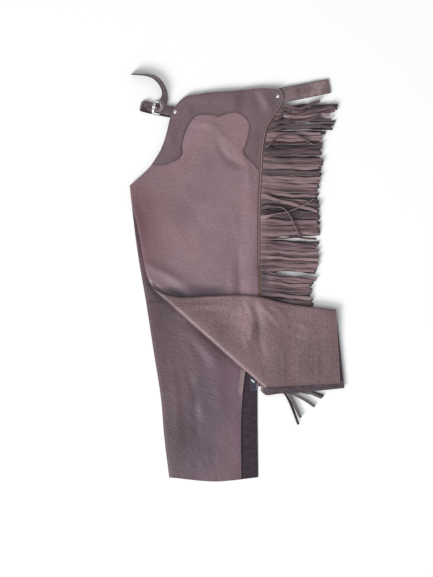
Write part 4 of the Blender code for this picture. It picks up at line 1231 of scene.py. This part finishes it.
def strands(leg, roots, rng):
    """All strands of one fringe."""
    bodies = []
    for i, y in enumerate(roots):
        root_x = float(fringe_root(leg, y)) + BAND
        root_z = float(band_height(leg, root_x - BAND, y))
        special = [row for row in LEANING[leg] if y - PITCH / 2 < row[0] <= y + PITCH / 2]
        level = i % 2
        tip_x = float(through(FRINGE_OUTLINE, y)) + rng.uniform(-7.0, 3.0)
        gap = float(fringe_shift(y))
        loose = rng.uniform(-1.6, 1.6, 2)
        droop = float(through(FRINGE_DROOP, y))
        shifts = [0.2 * (gap + droop), 0.85 * gap + 0.55 * droop + loose[0], gap + droop + loose[1]]
        lean = rng.normal(0.0, 16.0)
        roll = rng.normal(0.0, 19.0)
        tone = int(rng.choice([0, 0, 4, 5]))
        # painted light: strands in the lit spans turn pale; strands of the lower fringe and of the shaded
        # spans take the painted shade material
        if any(a <= y <= b for a, b in LIT_ROOT_SPANS):
            tone = 4
        if leg == "under" or any(a <= y <= b for a, b in SHADED_ROOT_SPANS):
            tone = 5
        if special:
            shifts = list(special[0][1:4])
            tip_x, level, roll = special[0][4:7]
            lean = 0.0
        places = np.array([0.0, *STATIONS, tip_x - root_x])
        table = np.column_stack([places, [0.0, 0.0, *shifts]])
        run = np.linspace(0.0, tip_x - root_x, 30 if special else 22)
        share = run / run[-1]
        fall = root_z + (FLOOR_LEVEL[leg] - root_z) * ease(run / 70.0)
        wave = rng.uniform(0.0, 6.28, 3)
        swing = ease(run / 30.0)
        side = through(table, run)
        side = side + swing * (1.1 * np.sin(run / 17.0 + wave[0]) + 0.6 * np.sin(run / 8.0 + wave[1]))
        z = fall + LEVEL_RISE * level * ease(run / STATIONS[0])
        z = z + swing * (1.1 + 1.1 * np.sin(run / 14.0 + wave[2]))
        turns = np.radians(lean * np.sin(math.pi * share) + roll * ease(run / 45.0))
        width = STRAND_WIDTH * (1.0 + 0.06 * np.sin(run / 21.0 + wave[1]))
        width = width * (1.0 - 0.1 * ease((share - 0.8) / 0.2))
        z = z + np.abs(np.sin(turns)) * width / 2 * 0.8
        path = np.column_stack([root_x - 1.5 + run, y + side, z])
        bodies.append(strand_body(path, width, STRAND, turns, tone))
    return bodies


def add_fringe(leg):
    """Backing strip and its strands."""
    rng = np.random.default_rng({"over": 11, "under": 12}[leg])
    count = int((FRINGE_TOP[leg] - FRINGE_END[leg]) / PITCH)
    edges = FRINGE_TOP[leg] - PITCH * np.arange(count + 1)
    roots = (edges[:-1] + edges[1:]) / 2
    fine = np.linspace(edges[0], edges[-1], 3 * count)
    inner_x = fringe_root(leg, fine)
    z = band_height(leg, inner_x, fine)
    lift = np.linspace(0.0, 1.0, 5)
    x = inner_x[:, None] + BAND * lift[None, :]
    y = np.broadcast_to(fine[:, None], x.shape)
    top = np.dstack([x, y, np.broadcast_to(z[:, None] + LEATHER / 2, x.shape)])
    base = top - np.array([0.0, 0.0, LEATHER])
    points, faces, side = wall(top, base)
    band = (points, faces, np.where(side == 0, 3, side))
    bodies = [band] + strands(leg, roots, rng)
    points, faces, sides = join(bodies)
    deep = {"over": FRINGE_DEEP_TONE_AND_SHADE, "under": FRINGE_IN_SHADE}[leg]
    skins = [FRINGE_SKIN, SUEDE_STRIP, PALE_EDGE_AND_HIGHLIGHT, BAND_SKIN, FRINGE_PALE_TONE_AND_LIGHT, deep]
    return add_piece(f"{leg}_fringe", [f"fringe_{leg}"], points, faces, skins, sides)


# Straps and metal
def ribbon(rows, width, thickness, count, bow=0.25):
    """Closed strap along a line, with rounded edges and a slight crown."""
    rows = np.array(rows, float)
    steps = np.linalg.norm(np.diff(rows[:, :3], axis=0), axis=1)
    places = np.concatenate([[0.0], np.cumsum(steps)]) / steps.sum()
    line = through(np.column_stack([places, rows]), np.linspace(0.0, 1.0, count))
    centre = line[:, :3]
    heading = np.radians(line[:, 3])
    lean = np.radians(line[:, 4])
    across = np.column_stack([
        np.cos(heading) * np.cos(lean), np.sin(heading) * np.cos(lean), np.sin(lean)])
    tangent = np.gradient(centre, axis=0)
    up = np.cross(tangent, across)
    up = up / np.linalg.norm(up, axis=1)[:, None]
    section = [(1.0, 0.22), (0.96, 0.44), (0.9, 0.5), (0.86, 0.42), (0.82, 0.5), (0.4, 0.5 + bow * 0.3),
               (0.0, 0.5 + bow * 0.4), (-0.4, 0.5 + bow * 0.3), (-0.82, 0.5), (-0.86, 0.42),
               (-0.9, 0.5), (-0.96, 0.44), (-1.0, 0.22), (-1.0, -0.22), (-0.94, -0.5),
               (0.0, -0.5), (0.94, -0.5), (1.0, -0.22)]
    rings = [centre + across * u * width / 2 + up * v * thickness for u, v in section]
    points = np.stack(rings, axis=1).reshape(-1, 3)
    n = len(section)
    faces, sides = [], []
    for i in range(count - 1):
        for k in range(n):
            m = (k + 1) % n
            faces.append((n * i + k, n * i + n + k, n * i + n + m, n * i + m))
            flesh = 13 <= k <= 16
            rim = k in (0, 12, 17)
            sides.append(2 if rim else 1 if flesh else 0)
    start = len(points)
    points = np.concatenate([points, centre[:1], centre[-1:]])
    for k in range(n):
        m = (k + 1) % n
        faces.append((start, k, m, m))
        faces.append((start + 1, n * (count - 1) + m, n * (count - 1) + k, n * (count - 1) + k))
        sides.extend([2, 2])
    faces = [f[:3] if f[2] == f[3] else f for f in faces]
    return points, faces, sides, (centre, across, up)


def belt_relief(x, y):
    """Soft lift of both layers of the belt, none where it is sewn to the leg."""
    wave = np.array([noise.noise((px / 16.0, py / 24.0, 3.5)) for px, py in zip(x.tolist(), y.tolist())])
    return BELT_WAVE * np.maximum(0.35 + 1.6 * wave, 0.0) * ramp(x, BELT_WAVE_SPAN)


def add_straps():
    """Back belt and the two halves of the front strap."""
    table = [
        ("belt_back", "back_belt", BELT_LINE, BELT_WIDTH, 160, BELT_SKIN),
        ("strap_buckle", "buckle_strap", BUCKLE_STRAP_LINE[::-1], LACE_WIDTH, 40, STRAP_SKIN),
        ("strap_tongue", "tongue_strap", TONGUE_LINE, LACE_WIDTH, 260, LACE_SKIN),
    ]
    made = {}
    for node, name, rows, width, count, skin in table:
        points, faces, sides, axes = ribbon(rows, width, STRAP, count)
        if node == "belt_back":
            points[:, 2] += belt_relief(points[:, 0], points[:, 1])
        add_piece(name, [node], points, faces, [skin, SUEDE, DARK_EDGE], sides)
        made[node] = axes
    return made


def disc(centre, across, up, radius, lift, name, material):
    """Small round mark lying on a strap."""
    along_axis = np.cross(up, across)
    count = 20
    points = [centre + up * lift * 0.2]
    for share, rise in ((0.55, 0.2), (1.0, 1.0), (1.0, -1.0)):
        for k in range(count):
            a = 2 * math.pi * k / count
            points.append(centre + radius * share * (across * math.cos(a) + along_axis * math.sin(a))
                          + up * lift * rise)
    faces = [(0, 1 + k, 1 + (k + 1) % count) for k in range(count)]
    for ring in range(2):
        for k in range(count):
            m = (k + 1) % count
            faces.append((1 + ring * count + k, 1 + ring * count + count + k,
                          1 + ring * count + count + m, 1 + ring * count + m))
    faces.append(tuple(1 + 2 * count + k for k in range(count))[::-1])
    piece = add_piece(name, [], np.array(points), faces, [material])
    return piece


def tube(path, radius, sides, closed):
    """Round bar along a path, closed into a ring or with rounded ends."""
    path = np.asarray(path, float)
    if closed:
        tangent = np.roll(path, -1, axis=0) - np.roll(path, 1, axis=0)
    else:
        tangent = np.gradient(path, axis=0)
    tangent = tangent / np.linalg.norm(tangent, axis=1)[:, None]
    out = np.cross(tangent, [0.0, 0.0, 1.0])
    size = np.linalg.norm(out, axis=1)[:, None]
    out = np.where(size > 1e-6, out / np.maximum(size, 1e-6), [1.0, 0.0, 0.0])
    up = np.cross(out, tangent)
    radius = np.broadcast_to(np.asarray(radius, float), (len(path),))
    points = []
    for k in range(sides):
        a = 2 * math.pi * k / sides
        points.append(path + (out * math.cos(a) + up * math.sin(a)) * radius[:, None])
    points = np.stack(points, axis=1).reshape(-1, 3)
    faces = []
    last = len(path) if closed else len(path) - 1
    for i in range(last):
        j = (i + 1) % len(path)
        for k in range(sides):
            m = (k + 1) % sides
            faces.append((sides * i + k, sides * j + k, sides * j + m, sides * i + m))
    if not closed:
        start = len(points)
        points = np.concatenate([points, path[:1], path[-1:]])
        for k in range(sides):
            m = (k + 1) % sides
            faces.append((start, k, m))
            faces.append((start + 1, sides * (len(path) - 1) + m, sides * (len(path) - 1) + k))
    return points, faces


def add_buckle():
    """Buckle frame of round bar with a roller on its outer side, and its prong."""
    c = math.cos(math.radians(BUCKLE_HEADING))
    s = math.sin(math.radians(BUCKLE_HEADING))

    def placed(u, v, dz=0.0):
        return (BUCKLE_PLACE[0] + u * c - v * s, BUCKLE_PLACE[1] + u * s + v * c, BUCKLE_PLACE[2] + dz)

    half_x = BUCKLE_SIZE[0] / 2 - BUCKLE_BAR / 2
    half_y = BUCKLE_SIZE[1] / 2 - BUCKLE_BAR / 2
    corner = 3.5
    ring = []
    for sx, sy, start in ((1, 1, 0), (-1, 1, 90), (-1, -1, 180), (1, -1, 270)):
        for turn in range(0, 91, 15):
            a = math.radians(start + turn)
            ring.append(placed(sx * (half_x - corner) + corner * math.cos(a),
                               sy * (half_y - corner) + corner * math.sin(a)))
    bodies = [tube(ring, BUCKLE_THICK / 2 + 0.1, 12, True)]
    plate = placed(-BUCKLE_SIZE[0] / 2 + BUCKLE_PLATE / 2, 0.0)
    bodies.append(small_box(plate, (BUCKLE_PLATE, BUCKLE_SIZE[1] - 8.0, BUCKLE_THICK + 0.8), BUCKLE_HEADING))
    bodies = [(body[0], body[1], [0] * len(body[1])) for body in bodies]
    points, faces, _ = join(bodies)
    add_piece("buckle_ring", ["buckle_frame"], points, faces, [METAL])
    rise = BUCKLE_THICK / 2 + 1.3
    line = [placed(-half_x - 1.4 + (PRONG_LENGTH + 1.0) * k / 10, 0.0, rise - 0.05 * (k - 5) ** 2 * 0.3)
            for k in range(11)]
    radius = np.array([1.25 - 0.05 * k for k in range(11)])
    radius[0], radius[-1] = 0.8, 0.45
    add_piece("buckle_tongue", ["buckle_prong"], *tube(line, radius, 12, False), [METAL])


def add_rivets():
    """Domed rivets with a rolled rim."""
    profile = [(0.0, 1.0), (0.35, 0.97), (0.62, 0.82), (0.8, 0.58), (0.86, 0.36), (0.92, 0.4),
               (1.0, 0.26), (1.0, 0.0), (0.7, 0.0)]
    for name, (x, y) in RIVETS.items():
        base = float(yoke_top(np.array([x]), np.array([y]))[0])
        count = 32
        points = [(x, y, base + RIVET_HEIGHT)]
        for share, rise in profile[1:]:
            for k in range(count):
                a = 2 * math.pi * k / count
                points.append((x + RIVET_RADIUS * share * math.cos(a),
                               y + RIVET_RADIUS * share * math.sin(a), base + RIVET_HEIGHT * rise))
        faces = [(0, 1 + k, 1 + (k + 1) % count) for k in range(count)]
        rings = len(profile) - 1
        for ring in range(rings - 1):
            for k in range(count):
                m = (k + 1) % count
                a, b = 1 + ring * count, 1 + (ring + 1) * count
                faces.append((a + k, b + k, b + m, a + m))
        faces.append(tuple(1 + (rings - 1) * count + k for k in range(count))[::-1])
        add_piece(f"{name}_head", [name], np.array(points), faces, [METAL])


# Zips
def edge_line(leg, half, inset, run, count=40):
    """Line beside an outseam edge."""
    ys = np.linspace(run[0], run[1], count)
    return np.column_stack([through(OUTSEAM[leg, half], ys) - inset, ys])


def strip(line_a, line_b, across, height_of, thickness):
    """Closed strip between two lines of points, lying on a height function."""
    v = np.linspace(0.0, 1.0, across)[None, :, None]
    plan = line_a[:, None, :] * (1.0 - v) + line_b[:, None, :] * v
    base = height_of(plan[..., 0], plan[..., 1])
    top = np.dstack([plan, base + thickness])
    return wall(top, np.dstack([plan, base]))


def small_box(centre, size, heading):
    """Box with cut corners, turned about the vertical."""
    c = math.cos(math.radians(heading))
    s = math.sin(math.radians(heading))
    outline = [(0.5, 0.3), (0.35, 0.5), (-0.35, 0.5), (-0.5, 0.3), (-0.5, -0.3), (-0.35, -0.5),
               (0.35, -0.5), (0.5, -0.3)]
    points = []
    for dz, inset in ((-0.5, 0.9), (-0.25, 1.0), (0.25, 1.0), (0.5, 0.82)):
        for u, v in outline:
            u, v = u * size[0] * inset, v * size[1] * inset
            points.append((centre[0] + u * c - v * s, centre[1] + u * s + v * c, centre[2] + dz * size[2]))
    n = len(outline)
    faces = [tuple(range(n))[::-1], tuple(3 * n + k for k in range(n))]
    for ring in range(3):
        for k in range(n):
            m = (k + 1) % n
            faces.append((ring * n + k, ring * n + m, ring * n + n + m, ring * n + n + k))
    return np.array(points), faces


def add_zips():
    """Zip tapes with their teeth, the end box and the facing strip."""
    def on_lower_front(x, y):
        return lower_leg_heights(x, y)[0] + LEATHER / 2 + SEAM_GAP

    def under_upper_front(x, y):
        return upper_leg_heights(x, y)[1] - LEATHER / 2 - SEAM_GAP - TAPE

    def on_lower_back(x, y):
        return (lower_leg_heights(x, y)[1] + LEATHER / 2 + PATCH_GAP
                + np.maximum(crease_height("under", x, y), -0.3))

    for leg, height_of in (("under", on_lower_front), ("over", under_upper_front)):
        run = ZIP_RUN[leg]
        inner = edge_line(leg, "front", ZIP_INSET + ZIP_WIDTH, run, 90)
        outer = edge_line(leg, "front", ZIP_INSET, run, 90)
        points, faces, side = strip(inner, outer, 6, height_of, TAPE)
        bodies = [(points, faces, side * 0)]
        teeth = edge_line(leg, "front", ZIP_INSET + ZIP_WIDTH - 2.0, run, int((run[1] - run[0]) / 2.6))
        for x, y in teeth:
            z = float(height_of(np.array([x]), np.array([y]))[0]) + TAPE + 0.35
            body = small_box((x, y, z), (3.4, 1.5, 0.9), 0.0)
            bodies.append((*body, [1] * len(body[1])))
        points, faces, sides = join(bodies)
        add_piece(f"{leg}_zip", [f"zip_{leg}"], points, faces, [TAPE_CLOTH, TEETH], sides)
    inner = edge_line("under", "back", 0.8 + GUARD_WIDTH, GUARD_RUN)
    outer = edge_line("under", "back", 0.8, GUARD_RUN)
    points, faces, side = strip(inner, outer, 7, on_lower_back, GUARD)
    add_piece("zip_facing", ["zip_guard"], points, faces, [FOLDED, SUEDE, DARK_EDGE], side)
    x, y = ZIP_BOX_PLACE
    base = float(on_lower_front(np.array([x]), np.array([y]))[0]) + TAPE + SEAM_GAP + ZIP_BOX_SIZE[2] / 2
    add_piece("zip_end", ["zip_box"], *small_box((x, y, base), ZIP_BOX_SIZE, ZIP_BOX_TURN), [METAL])


# Sewing
def stitch_row(line):
    """Stitches along a line of points: short round bars with sunk ends."""
    line = np.asarray(line, float)
    steps = np.linalg.norm(np.diff(line, axis=0), axis=1)
    places = np.concatenate([[0.0], np.cumsum(steps)])
    bodies = []
    shares = np.array([0.0, 0.18, 0.5, 0.82, 1.0])
    for start in np.arange(STITCH_PITCH / 2, places[-1] - STITCH_LENGTH, STITCH_PITCH):
        at = start + STITCH_LENGTH * shares
        path = np.column_stack([np.interp(at, places, line[:, k]) for k in range(3)])
        path[:, 2] += THREAD * np.array([-0.8, 0.1, 0.35, 0.1, -0.8])
        points, faces = tube(path, THREAD * np.array([0.5, 1.0, 1.05, 1.0, 0.5]), 6, False)
        bodies.append((points, faces, [0] * len(faces)))
    return bodies


def offset_line(line, inset):
    """Line of plan points moved to its right side."""
    run = np.gradient(line, axis=0)
    run = run / np.linalg.norm(run, axis=1)[:, None]
    return line + np.column_stack([run[:, 1], -run[:, 0]]) * inset


def leg_line(leg, half, x, y):
    """Layout points of a pattern line on a leg's grain side."""
    x = np.asarray(x, float)
    y = np.asarray(y, float)
    placed = leg_surface(leg, half, x, y, x * 0 + FOLD_REACH, LEATHER / 2)
    return np.column_stack(placed)


def add_sewing():
    """Rows of stitches on the upper yoke, knee seams and outseams."""
    bodies = []
    for edge, inset in ((SCALLOP, -3.0), (YOKE_EDGE, 3.5)):
        plan = offset_line(along(edge, np.linspace(0.01, 0.99, 260)), inset)
        bodies += stitch_row(np.column_stack([plan, yoke_top(plan[:, 0], plan[:, 1]) + 0.1]))
    points, faces, sides = join(bodies)
    made = add_piece("yoke_stitching", [], points, faces, [THREAD_DARK])

    bodies = []
    for leg in ("over", "under"):
        for half in ("front", "back"):
            left = float(inseam(leg, KNEE_Y)) + FOLD_REACH + 1.0
            right = float(through(OUTSEAM[leg, half], KNEE_Y)) - 3.0
            for dy in (3.2, -3.2):
                xs = np.linspace(left, right, 160)
                bodies += stitch_row(leg_line(leg, half, xs, xs * 0 + KNEE_Y + dy))
    for leg, half, run in (("over", "front", (300.0, 800.0)), ("over", "back", (50.0, 900.0)),
                           ("under", "back", (12.0, 900.0)), ("under", "front", (14.0, 230.0))):
        ys = np.linspace(run[0], run[1], 300)
        xs = through(OUTSEAM[leg, half], ys) - 3.2
        bodies += stitch_row(leg_line(leg, half, xs, ys))
    points, faces, sides = join(bodies)
    made = add_piece("leg_stitching", [], points, faces, [THREAD_BROWN])


def add_edge_lines():
    """Lines along edges: pale lines on the yoke's outer edge and the outseam backing, and a bluish line at
    the end of the zip tape, painted highlights where these turned edges catch the light; an edge-coloured
    line on the folded hem; dark lines at the knee seam and along the scallop.
    """
    yoke = offset_line(along(YOKE_EDGE, np.linspace(0.52, 1.0, 120)), 0.5)
    yoke_line = np.column_stack([yoke, yoke_top(yoke[:, 0], yoke[:, 1]) + EDGE_LIFT])
    scallop = offset_line(along(SCALLOP, np.linspace(0.004, 0.996, 240)), 0.4)
    scallop_line = np.column_stack([scallop, yoke_top(scallop[:, 0], scallop[:, 1]) - 0.9])
    ys = np.linspace(806.0, 560.0, 120)
    backing_x = fringe_root("over", ys) + BAND / 2
    backing_z = band_height("over", fringe_root("over", ys), ys) + LEATHER / 2 + EDGE_LIFT
    xs = np.linspace(HEM["over", "back"][0][0] + 10.0, HEM["over", "back"][-1][0] - 2.0, 120)
    hem = leg_line("over", "back", xs, through(HEM["over", "back"], xs) + 0.6)
    hem = hem + np.array([0.0, 0.0, EDGE_LIFT])
    end_x, end_y = through(OUTSEAM["under", "front"], ZIP_RUN["under"][0]) - ZIP_INSET, ZIP_RUN["under"][0]
    tape = np.array([(end_x - 11.0, end_y + 0.6), (end_x - 0.6, end_y + 0.6), (end_x - 0.6, end_y + 16.0)])
    tape_z = lower_leg_heights(tape[:, 0], tape[:, 1])[0] + LEATHER / 2 + SEAM_GAP + TAPE + 0.2
    xs = np.linspace(float(inseam("under", KNEE_Y)) + FOLD_REACH, 120.0, 80)
    knee = leg_line("under", "back", xs, xs * 0 + KNEE_Y) + np.array([0.0, 0.0, -EDGE_LIFT])
    stitched = leg_line("under", "back", xs, xs * 0 + KNEE_Y - 4.6) + np.array([0.0, 0.0, -EDGE_LIFT])
    for name, line, radius, skin, target in (
            ("knee_seam_line", knee, 0.75, DARK_EDGE, "leg_under_shin"),
            ("knee_turned_line", stitched, 0.55, DARK_EDGE, "leg_under_shin"),
            ("yoke_edge_line", yoke_line, 0.6, PALE_EDGE_AND_HIGHLIGHT, "yoke_over"),
            ("scallop_edge_line", scallop_line, 0.95, DARK_EDGE, "yoke_over"),
            ("backing_edge_line", np.column_stack([backing_x, ys, backing_z]), 0.6, PALE_EDGE_AND_HIGHLIGHT,
             "fringe_over"),
            ("hem_edge_line", hem, 0.6, EDGE, "leg_over_shin"),
            ("tape_edge_line", np.column_stack([tape, tape_z]), 0.7, TAPE_EDGE_HIGHLIGHT, "zip_under")):
        made = add_piece(name, [], *tube(line, radius, 8, False), [skin])


def add_strap_marks(axes):
    """Punched holes of the tongue strap."""
    centre, across, up = axes["strap_tongue"]
    count = 0
    for share in (0.36, 0.42, 0.66, 0.74, 0.82):
        index = int(share * (len(centre) - 1))
        place = centre[index] + up[index] * (STRAP * 0.6)
        # each hole is a near-black disc of painted shade
        disc(place, across[index], up[index], 1.7, 0.12, f"strap_hole_{count}", HOLE_SHADE)
        count += 1


def add_stage():
    """Floor, lights, world and camera."""
    mesh = bpy.data.meshes.new("floor")
    size = 6.0
    mesh.from_pydata([(-size, -size, -0.0004), (size, -size, -0.0004), (size, size, -0.0004),
                      (-size, size, -0.0004)], [], [(0, 1, 2, 3)])
    mesh.materials.append(plain("floor", (0.93, 0.93, 0.93), 0.8))
    floor = bpy.data.objects.new("floor", mesh)
    bpy.context.scene.collection.objects.link(floor)
    world = bpy.data.worlds.new("studio")
    bpy.context.scene.world = world
    world.use_nodes = True
    background = world.node_tree.nodes["Background"]
    background.inputs["Color"].default_value = (1.0, 1.0, 1.0, 1.0)
    background.inputs["Strength"].default_value = 0.44
    for name, kind, place, size, power, colour in (
            ("window light", "SUN", (-1.5, -1.7, 1.45), math.radians(24.0), 2.75, (1.0, 0.985, 0.965)),
            ("sky light", "AREA", (-0.9, -1.0, 2.7), 1.1, 24.0, (0.88, 0.94, 1.0))):
        data = bpy.data.lights.new(name, kind)
        if kind == "SUN":
            data.angle = size
        else:
            data.size = size
        data.energy = power
        data.color = colour
        light = bpy.data.objects.new(name, data)
        light.location = place
        light.rotation_mode = "QUATERNION"
        light.rotation_quaternion = Vector(place).to_track_quat("Z", "Y")
        bpy.context.scene.collection.objects.link(light)
    data = bpy.data.cameras.new("camera")
    data.sensor_width = SENSOR
    data.lens = SENSOR * VIEW_HEIGHT / VIEW_SPAN
    camera = bpy.data.objects.new("camera", data)
    camera.location = ((VIEW_CENTRE[0] - CENTRE[0]) * MM, (VIEW_CENTRE[1] - CENTRE[1]) * MM,
                       VIEW_HEIGHT * MM)
    bpy.context.scene.collection.objects.link(camera)
    bpy.context.scene.camera = camera
    bpy.context.scene.view_settings.view_transform = "Standard"


add_stage()
for leg_name in ("under", "over"):
    for part_name in ("thigh", "shin"):
        add_leg(leg_name, part_name)
    add_fringe(leg_name)
add_yokes()
add_zips()
strap_axes = add_straps()
add_strap_marks(strap_axes)
add_buckle()
add_rivets()
add_sewing()
add_edge_lines()
